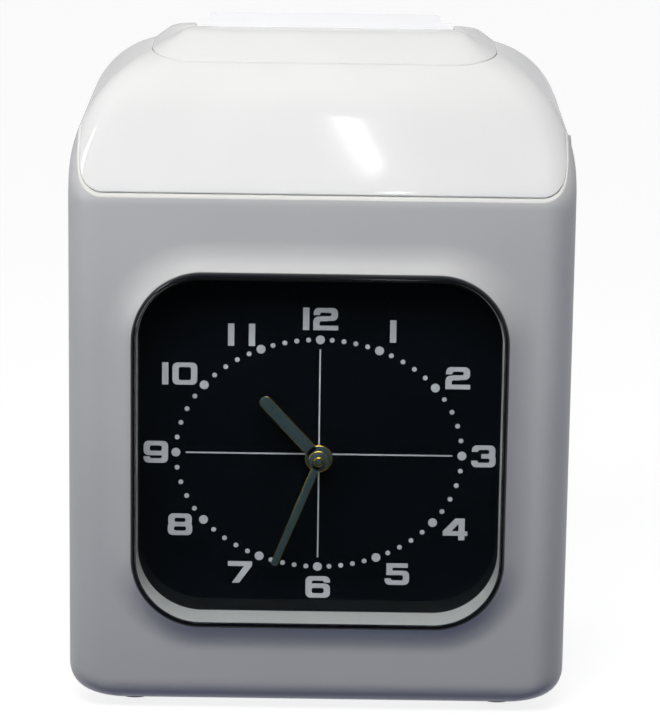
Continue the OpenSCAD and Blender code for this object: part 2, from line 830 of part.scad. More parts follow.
// Places something at a radius from the dial axis
module rotate_about(angle, radius) {
    translate([radius * cos(angle), 0, dial_z + radius * sin(angle)]) children();
}

module minute_wheel() {
    color("#c9a64a") difference() {
        union() {
            wheel(motion_centre, dial_z, cannon_y, gear_t, minute_teeth, minute_module, 180 / minute_teeth);
            wheel(motion_centre, dial_z, hour_wheel_y - 0.5, cannon_y - hour_wheel_y + 0.5, pinion_teeth,
                hour_module, 180 / pinion_teeth);
        }
        rod_y(motion_centre, dial_z, arbor_r + run_gap, hour_wheel_y - 2, clock_plate_y);
    }
}

module hour_wheel() {
    color("#c9a64a") difference() {
        union() {
            wheel(0, dial_z, hour_wheel_y, gear_t, hour_teeth, hour_module);
            rod_y(0, dial_z, tube_out_r, hour_hand_y - 0.6, hour_wheel_y + gear_t);
        }
        rod_y(0, dial_z, tube_in_r, hour_hand_y - 2, hour_wheel_y + gear_t + 1);
    }
}

// Both clock plates are squares about the dial axis with a pillar near each corner
module clock_plate(y) {
    along_y(y, y + plate_t) translate([0, dial_z]) rounded_rect(plate_w, plate_w, pillar_r + 1.5);
}
module at_pillars() {
    for (x = [-pillar_x, pillar_x], z = [dial_z - pillar_x, dial_z + pillar_x])
        translate([x, 0, z]) children();
}

module clock_front_plate() {
    color("#b8b09a") difference() {
        union() {
            clock_plate(clock_plate_y);
            at_pillars() rod_y(0, 0, pillar_r, dial_back_y, clock_plate_y + 0.1);
            rod_y(motion_centre, dial_z, arbor_r, hour_wheel_y - 1, clock_plate_y + 0.1);
        }
        rod_y(0, dial_z, arbor_r + run_gap, clock_plate_y - 1, clock_plate_y + plate_t + 1);
    }
}

module clock_back_plate() {
    color("#b8b09a") difference() {
        union() {
            clock_plate(clock_back_y);
            at_pillars() rod_y(0, 0, pillar_r, clock_plate_y + plate_t, clock_back_y + 0.1);
        }
        rod_y(0, dial_z, arbor_r + run_gap, clock_back_y - 1, clock_back_y + plate_t + 1);
        rod_y(0, dial_z - drive_centre, 4, clock_back_y - 1, clock_back_y + plate_t + 1);
    }
}

module clock_motor() {
    motor_y = clock_back_y + plate_t;
    color("#8c9096") difference() {
        union() {
            rod_y(0, dial_z - drive_centre, clock_motor_r, motor_y, motor_y + clock_motor_l);
            box(-clock_motor_r - 6, clock_motor_r + 6, motor_y, motor_y + plate_t, dial_z - drive_centre - 5,
                dial_z - drive_centre + 5);
        }
        rod_y(0, dial_z - drive_centre, arbor_r + run_gap, motor_y - 1, motor_y + 8);
    }
}

module clock_motor_pinion() {
    color("#d8d8d8") {
        rod_y(0, dial_z - drive_centre, arbor_r, centre_wheel_y - 1, clock_back_y + plate_t + 7);
        wheel(0, dial_z - drive_centre, centre_wheel_y - 0.25, gear_t + 0.5, pinion_teeth, drive_module,
            90 + 180 / pinion_teeth);
    }
}

module chassis() {
    color("#9aa0a6") difference() {
        union() {
            both_sides() {
                along_x(chassis_x, chassis_x + sheet_t) {
                    translate([chassis_leg_y, chassis_foot_z])
                        square([chassis_back_y - chassis_leg_y, chassis_top_z - chassis_foot_z]);
                    translate([chassis_front_y, deck_z])
                        square([chassis_leg_y - chassis_front_y + 1, chassis_top_z - deck_z]);
                }
                box(chassis_x - 7, chassis_x + eps, cassette_y + 1, cassette_y + cassette_d - 1,
                    cassette_z - sheet_t, cassette_z);
            }
            box(-chassis_x - eps, chassis_x + eps, chassis_leg_y, chassis_back_y, chassis_foot_z,
                chassis_foot_z + sheet_t);
            box(-chassis_x - eps, chassis_x + eps, chassis_front_y, card_front_y - 2, deck_z,
                deck_z + sheet_t);
            box(-chassis_x - eps, chassis_x + eps, card_back_y + 1, chassis_back_y - 2, lift_bridge_z,
                lift_bridge_z + sheet_t);
        }
        for (k = [0, 1]) rod_x(shaft_y + k * shaft_pitch, shaft_z, shaft_r + 0.02, -side_x, side_x);
        rod_z(0, screw_y, screw_r + run_gap, lift_bridge_z - 1, lift_bridge_z + sheet_t + 1);
        rod_z(guide_rod_x, screw_y, guide_rod_r, lift_bridge_z - 1, lift_bridge_z + sheet_t + 1);
        rod_z(guide_rod_x, screw_y, guide_rod_r, chassis_foot_z - 1, chassis_foot_z + sheet_t + 1);
        for (x = [-pulley_x, pulley_x])
            rod_z(x, belt_y, spindle_r + run_gap, deck_z - 1, deck_z + sheet_t + 1);
        at_chassis_screws()
            rod_z(0, 0, case_screw_r + 0.2, chassis_foot_z - 1, chassis_foot_z + sheet_t + 1);
    }
}

module front_card_guide() {
    color("#b4b8bc") difference() {
        along_y(card_front_y, card_in_y) {
            translate([-chassis_x, guide_foot_z]) square([chassis_w, guide_top_z - guide_foot_z]);
        }
        box(-window_x, window_x, card_front_y - 1, card_in_y + 1, print_z - window_h / 2,
            print_z + window_h / 2);
    }
}

// Outline of the rear guide above its plate, with round upper corners; it starts inside the plate
module guide_tongue(w, top_z, r) {
    root_z = guide_top_z - 10;
    translate([0, (top_z + root_z) / 2]) rounded_rect(w, top_z - root_z, r);
}

module rear_card_guide() {
    color("#eeeeec") difference() {
        along_y(card_out_y, card_back_y) {
            translate([-chassis_x, guide_foot_z]) square([chassis_w, guide_top_z - guide_foot_z]);
            guide_tongue(guide_shoulder_w, guide_shoulder_z, guide_shoulder_r);
            guide_tongue(lip_w, lip_top_z, lip_corner_r);
        }
        box(-window_x, window_x, card_out_y - 1, card_back_y + 1, print_z - window_h / 2,
            print_z + window_h / 2);
        for (x = [-arm_x, arm_x])
            box(x - arm_w / 2 - move_gap, x + arm_w / 2 + move_gap, card_out_y - 1, card_back_y + 1,
                rest_z - rest_h - 2, rest_z + rest_travel + 2);
    }
}

module platen() {
    face = card_out_y + 0.3;
    color("#3a3c3f") {
        box(-window_x + 1, window_x - 1, face, card_back_y + 6, print_z - window_h / 2 + 1,
            print_z + window_h / 2 - 1);
        box(-chassis_x, chassis_x, card_back_y + 1, card_back_y + 6, print_z - 4, print_z + 4);
    }
}

module card_rest() {
    color("#5a6066") difference() {
        union() {
            box(-arm_x - arm_w, arm_x + arm_w, card_in_y + move_gap, card_out_y - move_gap, rest_z - rest_h,
                rest_z);
            for (x = [-arm_x, arm_x])
                box(x - arm_w / 2, x + arm_w / 2, card_out_y - 1, card_back_y + 2, rest_z - rest_h, rest_z);
            box(-arm_x - arm_w, arm_x + arm_w, card_back_y + 1, screw_y + screw_r + 4, rest_z - rest_h,
                rest_z);
        }
        rod_z(0, screw_y, screw_r + run_gap, rest_z - rest_h - 1, rest_z + 1);
        rod_z(guide_rod_x, screw_y, guide_rod_r + run_gap, rest_z - rest_h - 1, rest_z + 1);
    }
}

module lift_screw() {
    color("#c8ccd0") rod_z(0, screw_y, screw_r, chassis_foot_z + sheet_t + lift_motor_l - 6,
        lift_bridge_z + sheet_t + 2);
}

module lift_motor() {
    motor_z = chassis_foot_z + sheet_t;
    color("#6c7076") difference() {
        rod_z(0, screw_y - 2, lift_motor_r, motor_z, motor_z + lift_motor_l);
        rod_z(0, screw_y, screw_r + run_gap, motor_z + lift_motor_l - 8, motor_z + lift_motor_l + 1);
        rod_z(guide_rod_x, screw_y, guide_rod_r + move_gap, motor_z - 1, motor_z + lift_motor_l + 1);
    }
}

module lift_guide_rod() {
    color("#c8ccd0") rod_z(guide_rod_x, screw_y, guide_rod_r, chassis_foot_z, lift_bridge_z + sheet_t + 2);
}

// The carriage on its shafts, with two fingers that grip the front run of the belt
module print_carriage() {
    run_y = belt_y - belt_in_r - belt_t / 2;
    finger_t = 1.4;
    finger_y = belt_t / 2 + move_gap;
    color("#4a4e54") difference() {
        union() {
            box(-carriage_w / 2, carriage_w / 2, shaft_y - shaft_r - carriage_side,
                shaft_y + shaft_pitch + shaft_r + carriage_side, carriage_bottom_z, carriage_top_z);
            for (y = [run_y - finger_y - finger_t, run_y + finger_y])
                box(-carriage_w / 5, carriage_w / 5, y, y + finger_t, belt_bottom_z, carriage_bottom_z + 1);
        }
        for (k = [0, 1])
            rod_x(shaft_y + k * shaft_pitch, shaft_z, shaft_r + run_gap, -carriage_w, carriage_w);
        box(-carriage_w / 4, carriage_w / 4, belt_y - 2, belt_y + 2, carriage_bottom_z - 1,
            carriage_top_z + 1);
    }
}

module print_head() {
    nose = 7;
    nose_y = card_front_y - 1.4;
    color("#2c2e32") {
        box(-head_w / 2, head_w / 2, shaft_y - 2, nose_y - 6, carriage_top_z, head_top_z);
        along_z(print_z - 4, print_z + 4) polygon([[-head_w / 2, nose_y - 6.5], [head_w / 2, nose_y - 6.5],
            [nose / 2, nose_y], [-nose / 2, nose_y]]);
        for (k = [-2:2])
            box(k * head_w / 6 - 1, k * head_w / 6 + 1, shaft_y - 4, shaft_y - 1.9, carriage_top_z + 1,
                head_top_z - 1);
    }
}

module guide_shafts() {
    color("#d0d4d8") for (k = [0, 1])
        rod_x(shaft_y + k * shaft_pitch, shaft_z, shaft_r, -chassis_x - sheet_t - 1, chassis_x + sheet_t + 1);
}

// A pulley on its spindle, with flanges that keep the belt in place
module pulley(x) {
    rod_z(x, belt_y, pulley_r, belt_bottom_z - 0.3, belt_bottom_z + belt_h + 0.3);
    rod_z(x, belt_y, pulley_r + 1.5, belt_bottom_z + belt_h + 0.3, belt_bottom_z + belt_h + 1);
}

module drive_pulley() {
    color("#d8d0b8") pulley(-pulley_x);
    color("#d8d0b8") rod_z(-pulley_x, belt_y, spindle_r, deck_z - 6, belt_bottom_z);
}

module idler_pulley() {
    color("#d8d0b8") pulley(pulley_x);
    color("#d8d0b8") rod_z(pulley_x, belt_y, spindle_r, deck_z - 2, belt_bottom_z);
}

module drive_belt() {
    color("#24262a") along_z(belt_bottom_z, belt_bottom_z + belt_h) difference() {
        belt_outline(belt_in_r + belt_t);
        belt_outline(belt_in_r);
    }
}
module belt_outline(r) {
    translate([0, belt_y]) {
        square([2 * pulley_x, 2 * r], center = true);
        for (x = [-pulley_x, pulley_x]) translate([x, 0]) circle(r);
    }
}

module carriage_motor() {
    color("#6c7076") difference() {
        rod_z(-pulley_x, belt_y, carriage_motor_r, deck_z - carriage_motor_l, deck_z);
        rod_z(-pulley_x, belt_y, spindle_r + run_gap, deck_z - 7, deck_z + 1);
    }
}

module ribbon_cassette() {
    half_w = chassis_x - move_gap;
    top = cassette_z + cassette_h;
    color("#2a2c30") difference() {
        union() {
            box(-half_w, half_w, cassette_y, cassette_y + cassette_d, cassette_z, top);
            both_sides() box(ribbon_x, half_w, cassette_y + cassette_d - 1, card_front_y - 0.6,
                print_z - ribbon_h / 2, top);
        }
        for (x = [-spool_x, spool_x]) {
            rod_z(x, spool_y, spool_r + move_gap, cassette_z + cassette_wall, top - cassette_wall);
            rod_z(x, spool_y, knob_r + move_gap, top - 2 * cassette_wall, top + 1);
        }
    }
}

// A spool inside the cassette with its winding knob above
module spool(x) {
    top = cassette_z + cassette_h;
    inside = cassette_wall + move_gap;
    difference() {
        union() {
            rod_z(x, spool_y, spool_r, cassette_z + inside, top - inside);
            rod_z(x, spool_y, knob_r, top - inside - eps, top + 2.5);
        }
        box(x - spool_r, x + spool_r, spool_y - 0.6, spool_y + 0.6, top + 1, top + 3);
    }
}
module take_up_spool() {
    color("#6a6e74") spool(spool_x);
}
module supply_spool() {
    color("#6a6e74") spool(-spool_x);
}

module ink_ribbon() {
    color("#16161a") box(-ribbon_x, ribbon_x, card_front_y - 1, card_front_y - 0.7, print_z - ribbon_h / 2,
        print_z + ribbon_h / 2);
}

module at_buttons() {
    for (k = [0:2]) translate([last_button_x - k * button_pitch, panel_mid_y, 0]) children();
}

module setting_panel() {
    hole_w = button_w / 2 + move_gap;
    hole_d = button_d / 2 + move_gap;
    color("#d6d8da") difference() {
        union() {
            box(-panel_w / 2, panel_w / 2, panel_y, panel_y + panel_d, panel_z - panel_t, panel_z);
            for (x = [-panel_leg_x, panel_leg_x])
                box(x - panel_leg_w / 2, x + panel_leg_w / 2, panel_y + 0.5, panel_y + 0.5 + panel_t,
                    tub_top_z, panel_z - eps);
        }
        at_buttons() box(-hole_w, hole_w, -hole_d, hole_d, panel_z - panel_t - 1, panel_z + 1);
        box(-display_w, 0, panel_mid_y - display_d / 2, panel_mid_y + display_d / 2,
            panel_z - panel_t / 2, panel_z + 1);
    }
}

// Board with a switch under each button, held to the panel by two posts
module switch_board() {
    board_top = switch_top_z - switch_h;
    right = panel_w / 2 - 2;
    left = last_button_x - 2 * button_pitch - button_w / 2 - 6;
    color("#2f6a48") {
        box(left, right, panel_y + 3, panel_y + panel_d - 0.5, board_top - switch_board_t, board_top);
        at_buttons() rod_z(0, 0, 2.5, board_top - eps, switch_top_z);
        for (x = [left + 1.5, right - 1.5])
            rod_z(x, panel_mid_y, 1.5, board_top - eps, panel_z - panel_t);
    }
}

module display_window() {
    half_d = display_d / 2 - display_gap;
    color("#7c8a78") box(-display_w + display_gap, -display_gap, panel_mid_y - half_d, panel_mid_y + half_d,
        panel_z - panel_t / 2, panel_z - display_gap);
}

// A setting button with the flange under the panel that keeps it in
module button(k) {
    flange_w = button_w / 2 + 1;
    flange_d = button_d / 2 + 1;
    translate([last_button_x - k * button_pitch, panel_mid_y, 0]) {
        along_z(flange_top_z - eps, panel_z + button_rise) rounded_rect(button_w, button_d, 1.5);
        box(-flange_w, flange_w, -flange_d, flange_d, flange_top_z - flange_t, flange_top_z);
    }
}
module select_button() {
    color("#4a6a9a") button(2);
}
module change_button() {
    color("#4a6a9a") button(1);
}
module set_button() {
    color("#a04a44") button(0);
}

module lock_body() {
    color("#d4d6d8") difference() {
        rod_x(lock_y, lock_z, lock_shell_r, lock_face_x - lock_l, lock_face_x);
        rod_x(lock_y, lock_z, lock_r + run_gap, lock_face_x - lock_l - 1, lock_face_x + 1);
    }
}

module lock_plug() {
    color("#e0e2e4") difference() {
        rod_x(lock_y, lock_z, lock_r, cam_x, lock_face_x - 0.3);
        box(lock_face_x - 9, lock_face_x + 1, lock_y - 0.6, lock_y + 0.6, lock_z - 3, lock_z + 3);
    }
}

module lock_cam() {
    end = cam_l - cam_w / 2;
    color("#b8bcc0") along_x(cam_x - 2, cam_x) translate([lock_y, lock_z]) {
        circle(lock_r);
        translate([-cam_w / 2, 0]) square([cam_w, end]);
        translate([0, end]) circle(cam_w / 2);
    }
}

module main_board() {
    chip_w = board_w / 8;
    color("#2f6a48") {
        difference() {
            box(-board_w / 2, board_w / 2, board_y, board_y + board_t, board_z, board_z + board_h);
            at_board_posts() rod_y(0, 0, 1.2, board_y - 1, board_y + board_t + 1);
        }
        translate([-chip_w, board_y - 2 * board_t, board_z + board_h / 2])
            cube([2 * chip_w, 2 * board_t + eps, 2 * chip_w]);
        for (k = [0:3])
            translate([(k - 1.85) * board_w / 4.6, board_y - board_t, board_z + board_h / 6])
                cube([chip_w, board_t + eps, chip_w]);
        rod_y(board_w / 3, board_z + 0.78 * board_h, board_hole_in, board_y - 5 * board_t, board_y + eps);
    }
}

module transformer() {
    coil_in = 8;
    coil_out = 2.5;
    coil_z = 6;
    color("#7a6a4c") translate([core_x, core_y, inner_floor_z]) {
        cube([core_w, core_d, core_h]);
        translate([coil_in, -coil_out, coil_z])
            cube([core_w - 2 * coil_in, core_d + 2 * coil_out, core_h - 2 * coil_z]);
    }
}

module cord_bush() {
    color("#2c2e32") difference() {
        union() {
            rod_y(cord_x, cord_z, cord_r + 2, back_y - wall - 3, back_y);
            rod_y(cord_x, cord_z, cord_r + 4, back_y - wall - 3, back_y - wall);
        }
        rod_y(cord_x, cord_z, cord_r, back_y - wall - 4, back_y + 1);
    }
}

module rubber_feet() {
    color("#3a3c3f")
        for (x = [-side_x + foot_in_x, side_x - foot_in_x])
            for (y = [front_y + foot_front_in, back_y - foot_back_in])
                rod_z(x, y, foot_r, 0, foot_h);
}

module case_screws() {
    color("#b8bcc0") at_case_screws() {
        rod_y(0, 0, case_screw_r, split_y - boss_l + 4, screw_seat_y + eps);
        rod_y(0, 0, 2 * case_screw_r, screw_seat_y, screw_seat_y + screw_head_h);
    }
}

module dial_screws() {
    color("#b8bcc0") at_dial_ears() {
        rod_y(0, 0, dial_screw_r, dial_y - dial_screw_l, dial_back_y + eps);
        rod_y(0, 0, 2 * dial_screw_r, dial_back_y, dial_back_y + screw_head_h);
    }
}

module chassis_screws() {
    top = chassis_foot_z + sheet_t;
    color("#b8bcc0") at_chassis_screws() {
        rod_z(0, 0, 2 * case_screw_r, top, top + screw_head_h);
        rod_z(0, 0, case_screw_r, inner_floor_z + 0.5, top + eps);
    }
}

front_case();
rear_case();
upper_cover();
card_throat();
lens();
dial();
hour_hand();
minute_hand();
hand_nut();
minute_arbor();
minute_wheel();
hour_wheel();
clock_front_plate();
clock_back_plate();
clock_motor();
clock_motor_pinion();
chassis();
front_card_guide();
rear_card_guide();
platen();
card_rest();
lift_screw();
lift_motor();
lift_guide_rod();
print_carriage();
print_head();
guide_shafts();
drive_pulley();
idler_pulley();
drive_belt();
carriage_motor();
ribbon_cassette();
take_up_spool();
supply_spool();
ink_ribbon();
setting_panel();
switch_board();
display_window();
select_button();
change_button();
set_button();
lock_body();
lock_plug();
lock_cam();
main_board();
transformer();
cord_bush();
rubber_feet();
case_screws();
dial_screws();
chassis_screws();
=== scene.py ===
"""Dressed looks of a desk time clock, laid out as an add-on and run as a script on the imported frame."""

import json
import math
from types import SimpleNamespace

import bmesh
import bpy
import numpy as np
from mathutils import Matrix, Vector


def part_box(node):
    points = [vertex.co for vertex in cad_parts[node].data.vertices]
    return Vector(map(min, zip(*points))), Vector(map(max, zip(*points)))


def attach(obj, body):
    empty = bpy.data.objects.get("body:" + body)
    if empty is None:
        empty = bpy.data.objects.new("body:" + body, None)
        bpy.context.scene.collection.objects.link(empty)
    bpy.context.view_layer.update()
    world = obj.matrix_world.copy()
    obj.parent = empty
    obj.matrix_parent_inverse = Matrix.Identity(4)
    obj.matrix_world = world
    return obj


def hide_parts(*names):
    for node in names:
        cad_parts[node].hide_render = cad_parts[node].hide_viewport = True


bl_info = {
    "name": "Time clock",
    "version": (1, 0, 0),
    "blender": (4, 5, 0),
    "location": "3D View > Sidebar > Clock",
    "description": "Dresses the packed time clock with shells, lens, dial print and finishes",
    "category": "Object",
}

MM = 0.001
SIDES = (-1, 1)
# Points round a turned piece
ROUND = 48
# Rows of the rolled edge that a shell has along its seam
EDGE_ROWS = 5
# Places (x, z) of the four screws that hold the shells together
CASE_SCREWS = [(86.5 * side, z) for side in SIDES for z in (16, 184)]
# How far a cutter reaches in from the outer face, and out past it
CUT_IN, CUT_OUT = 8, 4
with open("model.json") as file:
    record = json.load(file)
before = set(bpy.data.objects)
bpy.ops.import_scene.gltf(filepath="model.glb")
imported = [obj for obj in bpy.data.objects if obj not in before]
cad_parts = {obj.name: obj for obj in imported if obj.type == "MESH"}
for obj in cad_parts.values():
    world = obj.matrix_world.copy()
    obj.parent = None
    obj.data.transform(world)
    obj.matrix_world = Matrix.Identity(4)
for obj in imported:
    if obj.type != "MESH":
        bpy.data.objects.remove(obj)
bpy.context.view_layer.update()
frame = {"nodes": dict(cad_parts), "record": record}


def corner(node, end):
    """One corner of a solid's box in millimetres: end 0 is the lowest, 1 the highest."""
    return np.array(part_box(node)[end]) / MM


def linear(code):
    """Turns an sRGB hex colour into the linear values that shaders use."""
    values = np.array([int(code[k : k + 2], 16) for k in (1, 3, 5)]) / 255
    return tuple(np.where(values <= 0.04045, values / 12.92, ((values + 0.055) / 1.055) ** 2.4))


def size(name, description, millimetres):
    """A length that a user may change, kept in metres."""
    return bpy.props.FloatProperty(
        name=name, description=description, default=millimetres * MM, unit="LENGTH", precision=5
    )


def tint(name, description, code):
    """A colour that a user may change, given as sRGB hex."""
    return bpy.props.FloatVectorProperty(
        name=name, description=description, default=linear(code), subtype="COLOR", size=3, min=0, max=1
    )


class ClockSizes(bpy.types.PropertyGroup):
    """Sizes of the shells, the lens, the dial print and the hands."""

    side: size("Half width", "From the middle to a side", corner("rear_case", 1)[0])
    front: size("Front", "Where the upright front stands", corner("front_case", 0)[1] + 4)
    back: size("Back", "Where the back stands", corner("rear_case", 1)[1])
    floor: size("Underside", "Height of the underside", corner("front_case", 0)[2])
    top: size("Top", "Height of the housing", corner("upper_cover", 1)[2])
    split: size("Split", "Where front and rear shell meet", corner("rear_case", 0)[1])
    split_gap: size("Split gap", "Hairline between front and rear shell", 0.2)
    wall: size("Wall", "Thickness of the moulded walls", 2.5)
    base: size("Base round", "Radius of the lower side edges", 13)
    toe: size("Toe round", "Radius of the lower front edge", 9)
    heel: size("Heel round", "Radius of the lower rear edge", 5)
    shoulder: size("Shoulder", "Radius of the shoulders", 42)
    front_round: size("Front edges", "Radius of the upright front edges", 12)
    rear_round: size("Rear edges", "Radius of the upright rear edges", 10)
    rear_top: size("Rear top", "Radius over the back of the top", 42)
    lean_drop: size("Lean height", "Height of the leaning front", 46)
    lean_depth: size("Lean depth", "How far the leaning front goes back", 35.5)
    lean_foot: size("Lean foot", "Radius at the foot of the lean", 12)
    lean_head: size("Lean head", "Radius at the head of the lean", 50)
    seam: size("Seam", "Height of the cover's lower edge", 196)
    seam_gap: size("Seam gap", "Gap between cover and case", 0.5)
    seam_roll: size("Seam roll", "Radius of the case's edge along the seam", 1.4)
    cover_in: size("Cover inset", "From a side to the cover's edge", 4)
    cover_corner: size("Cover corner", "Radius of the cover's lower corners", 9)
    cove_width: size("Cove width", "Width of the hollow collar round the lens", 11)
    cove_rise: size("Cove rise", "Height of the hollow collar", 4)
    lens_corner: size("Lens corner", "Radius of the lens corners", 26)
    lens_edge: size("Lens edge", "Radius of the lens's front edge", 2.5)
    lens_bow: size("Lens bow", "How far the middle of the lens stands proud", 0.75)
    lens_wall: size("Lens rim", "Thickness of the lens rim", 1.8)
    pane: size("Pane", "Thickness of the lens pane", 2)
    crest: size("Crest", "From the throat's front edge to its crest", 24)
    front_crown: size("Front crown", "Radius of the throat ahead of its crest", 40)
    rear_crown: size("Rear crown", "Radius of the throat behind its crest", 85)
    throat_flat: size("Throat flat", "Half width of the throat's level top", 50)
    throat_bend: size("Throat bend", "Radius where the throat starts to fall at its ends", 30)
    throat_fall: size("Throat fall", "How far the throat has fallen at its ends", 4.7)
    throat_skirt: size("Throat skirt", "From the throat's crest down to its lower edge", 11.8)
    throat_front: size("Throat front", "Width of the throat's round front corners", 18)
    throat_deep: size("Throat front depth", "Depth of the throat's round front corners", 26)
    throat_rear: size("Throat rear", "Radius of the throat's rear corners", 8)
    slot_half: size("Slot half width", "From the middle to a slot end", 48.5)
    slot_front: size("Slot front", "Where the card slot starts", 6.2)
    slot_back: size("Slot back", "Where the card slot ends", 17.2)
    numeral_wide: size("Number width", "Width of a round number", 9.1)
    numeral_tall: size("Number height", "Height of a number", 8.35)
    upright: size("Upright stroke", "Width of the upright strokes", 2.3)
    level: size("Level stroke", "Width of the level strokes", 1.72)
    dots_wide: size("Dot ring half width", "From the middle to the dots at 3 and 9", 52.6)
    dots_tall: size("Dot ring half height", "From the middle to the dots at 12 and 6", 43.2)
    hour_dot: size("Hour dot", "Diameter of an hour dot", 3.3)
    minute_dot: size("Minute dot", "Diameter of a minute dot", 1.8)
    cross_line: size("Cross line", "Width of the two fine lines", 0.55)
    cross_wide: size("Cross half width", "From the middle to an end of the level line", 49)
    cross_tall: size("Cross half height", "From the middle to an end of the upright line", 39.6)
    print_proud: size("Print height", "How far the ink stands above the dial", 0.05)
    hour_long: size("Hour hand", "Length of the hour hand", 31)
    hour_wide: size("Hour hand width", "Width of the hour hand", 4.9)
    minute_long: size("Minute hand", "Length of the minute hand", 43.2)
    minute_wide: size("Minute hand width", "Width of the minute hand", 3)
    screw_lead: size("Screw lead", "How far the card rest climbs in a turn of its screw", 12)


class ClockColours(bpy.types.PropertyGroup):
    """Colours of the outer finishes and the angles that the hands show."""

    case: tint("Case", "Satin plastic of the case", "#D3D3D2")
    cover: tint("Cover", "Gloss plastic of the cover", "#F3F3F1")
    dial: tint("Dial", "Gloss paint of the dial", "#0C1014")
    ink: tint("Ink", "Pad print of the numbers", "#C8C9CE")
    hand: tint("Hand", "Lacquer on the hands", "#37484C")
    brass: tint("Brass", "Polished brass", "#D9B45A")
    floor: tint("Floor", "Studio floor", "#A0A0A0")
    hour_angle: bpy.props.FloatProperty(
        name="Hour angle", description="Clockwise from twelve", default=math.radians(317), subtype="ANGLE"
    )
    minute_angle: bpy.props.FloatProperty(
        name="Minute angle", description="Clockwise from twelve", default=math.radians(202), subtype="ANGLE"
    )


def sizes(context):
    """The sizes of the property group in millimetres, under the same names."""
    group = context.scene.clock_sizes
    names = group.bl_rna.properties.keys()
    lengths = {n: getattr(group, n) / MM for n in names if group.bl_rna.properties[n].type == "FLOAT"}
    return SimpleNamespace(**lengths)


# Meshes

def quads(rows, cols, wrap=False):
    """Corner numbers of a grid's faces, row by row; wrap joins the last column to the first."""
    row = np.arange(rows - 1)[:, None]
    col = np.arange(cols if wrap else cols - 1)[None, :]
    beside = (col + 1) % cols
    faces = [row * cols + col, row * cols + beside, (row + 1) * cols + beside, (row + 1) * cols + col]
    return np.stack(faces, axis=-1)


def skin(points, wrap=False, keep=None):
    """A grid of points in millimetres as (points, faces); keep is a mask of the faces that stay."""
    faces = quads(points.shape[0], points.shape[1], wrap)
    faces = faces.reshape(-1, 4) if keep is None else faces[keep]
    return points.reshape(-1, 3), faces.reshape(-1, 4)


def joined_mesh(name, skins, finishes=(), face_finish=None, closed=True):
    """Joins grids into one mesh, merges its seams and poles and turns a closed shape's faces outwards."""
    starts = np.cumsum([0] + [len(points) for points, _ in skins])
    points = np.concatenate([points for points, _ in skins]) * MM
    faces = np.concatenate([part + start for (_, part), start in zip(skins, starts)])
    mesh = bpy.data.meshes.new(name)
    mesh.from_pydata(points.tolist(), [], faces.tolist())
    for finish in finishes:
        mesh.materials.append(finish)
    if face_finish is not None:
        mesh.polygons.foreach_set("material_index", face_finish)
    shape = bmesh.new()
    shape.from_mesh(mesh)
    bmesh.ops.remove_doubles(shape, verts=shape.verts, dist=0.004 * MM)
    bmesh.ops.dissolve_degenerate(shape, edges=shape.edges, dist=0.002 * MM)
    if closed:
        bmesh.ops.recalc_face_normals(shape, faces=shape.faces)
    shape.to_mesh(mesh)
    shape.free()
    return mesh


def show(name, mesh):
    """An object at the origin that shows a mesh."""
    shown = bpy.data.objects.new(name, mesh)
    bpy.context.scene.collection.objects.link(shown)
    return shown


def make_piece(name, skins, finishes, body, stands_for=(), closed=False, face_finish=None):
    """Makes a piece from grids and sets it on its body."""
    piece = show(name, joined_mesh(name, skins, finishes, face_finish, closed))
    piece.data.shade_smooth()
    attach(piece, body)
    if stands_for:
        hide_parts(*stands_for)
    return piece


def thicken(piece, thickness):
    """Gives a skin its wall, inward from the outer face."""
    wall = piece.modifiers.new("wall", "SOLIDIFY")
    wall.thickness = thickness * MM
    wall.offset = -1


def soften(piece, radius, segments=3):
    """Rounds every edge that turns by more than 35 degrees, then weights the normals by face size."""
    edge = piece.modifiers.new("edges", "BEVEL")
    edge.width = radius * MM
    edge.segments = segments
    edge.limit_method = "ANGLE"
    edge.angle_limit = math.radians(35)
    edge.miter_outer = "MITER_ARC"
    even = piece.modifiers.new("even shading", "WEIGHTED_NORMAL")
    even.keep_sharp = True


def settle(piece):
    """Applies a piece's modifiers to its mesh."""
    depsgraph = bpy.context.evaluated_depsgraph_get()
    made = bpy.data.meshes.new_from_object(piece.evaluated_get(depsgraph))
    spare = piece.data
    piece.modifiers.clear()
    piece.data = made
    made.name = piece.name
    bpy.data.meshes.remove(spare)


def cut(piece, skins):
    """Takes closed shapes away from a piece."""
    cutters = [show("cutter", joined_mesh("cutter", [one])) for one in skins]
    for cutter in cutters:
        away = piece.modifiers.new("cut", "BOOLEAN")
        away.operation = "DIFFERENCE"
        away.solver = "EXACT"
        away.object = cutter
    settle(piece)
    for cutter in cutters:
        bpy.data.objects.remove(cutter)


def turned(profile, centre, axis, count=ROUND):
    """A profile of (radius, along) points turned about an axis: each row is a circle of that radius."""
    radius, along = np.array(profile, float).T[:, :, None]
    angle = np.linspace(0, 2 * np.pi, count, endpoint=False)[None, :]
    first, second = radius * np.cos(angle), radius * np.sin(angle)
    spread = along + 0 * angle
    order = {"x": (spread, first, second), "y": (second, spread, first), "z": (first, second, spread)}
    return skin(np.stack(order[axis], axis=-1) + np.array(centre), wrap=True)


def drill(radius, start, end, centre, axis):
    """A closed cylinder along an axis, to cut a round hole with."""
    return turned([(0, start), (radius, start), (radius, end), (0, end)], centre, axis)


def tube(bore, radius, start, end, centre, axis):
    """A closed tube along an axis."""
    profile = [(bore, start), (radius, start), (radius, end), (bore, end), (bore, start)]
    return turned(profile, centre, axis, 32)


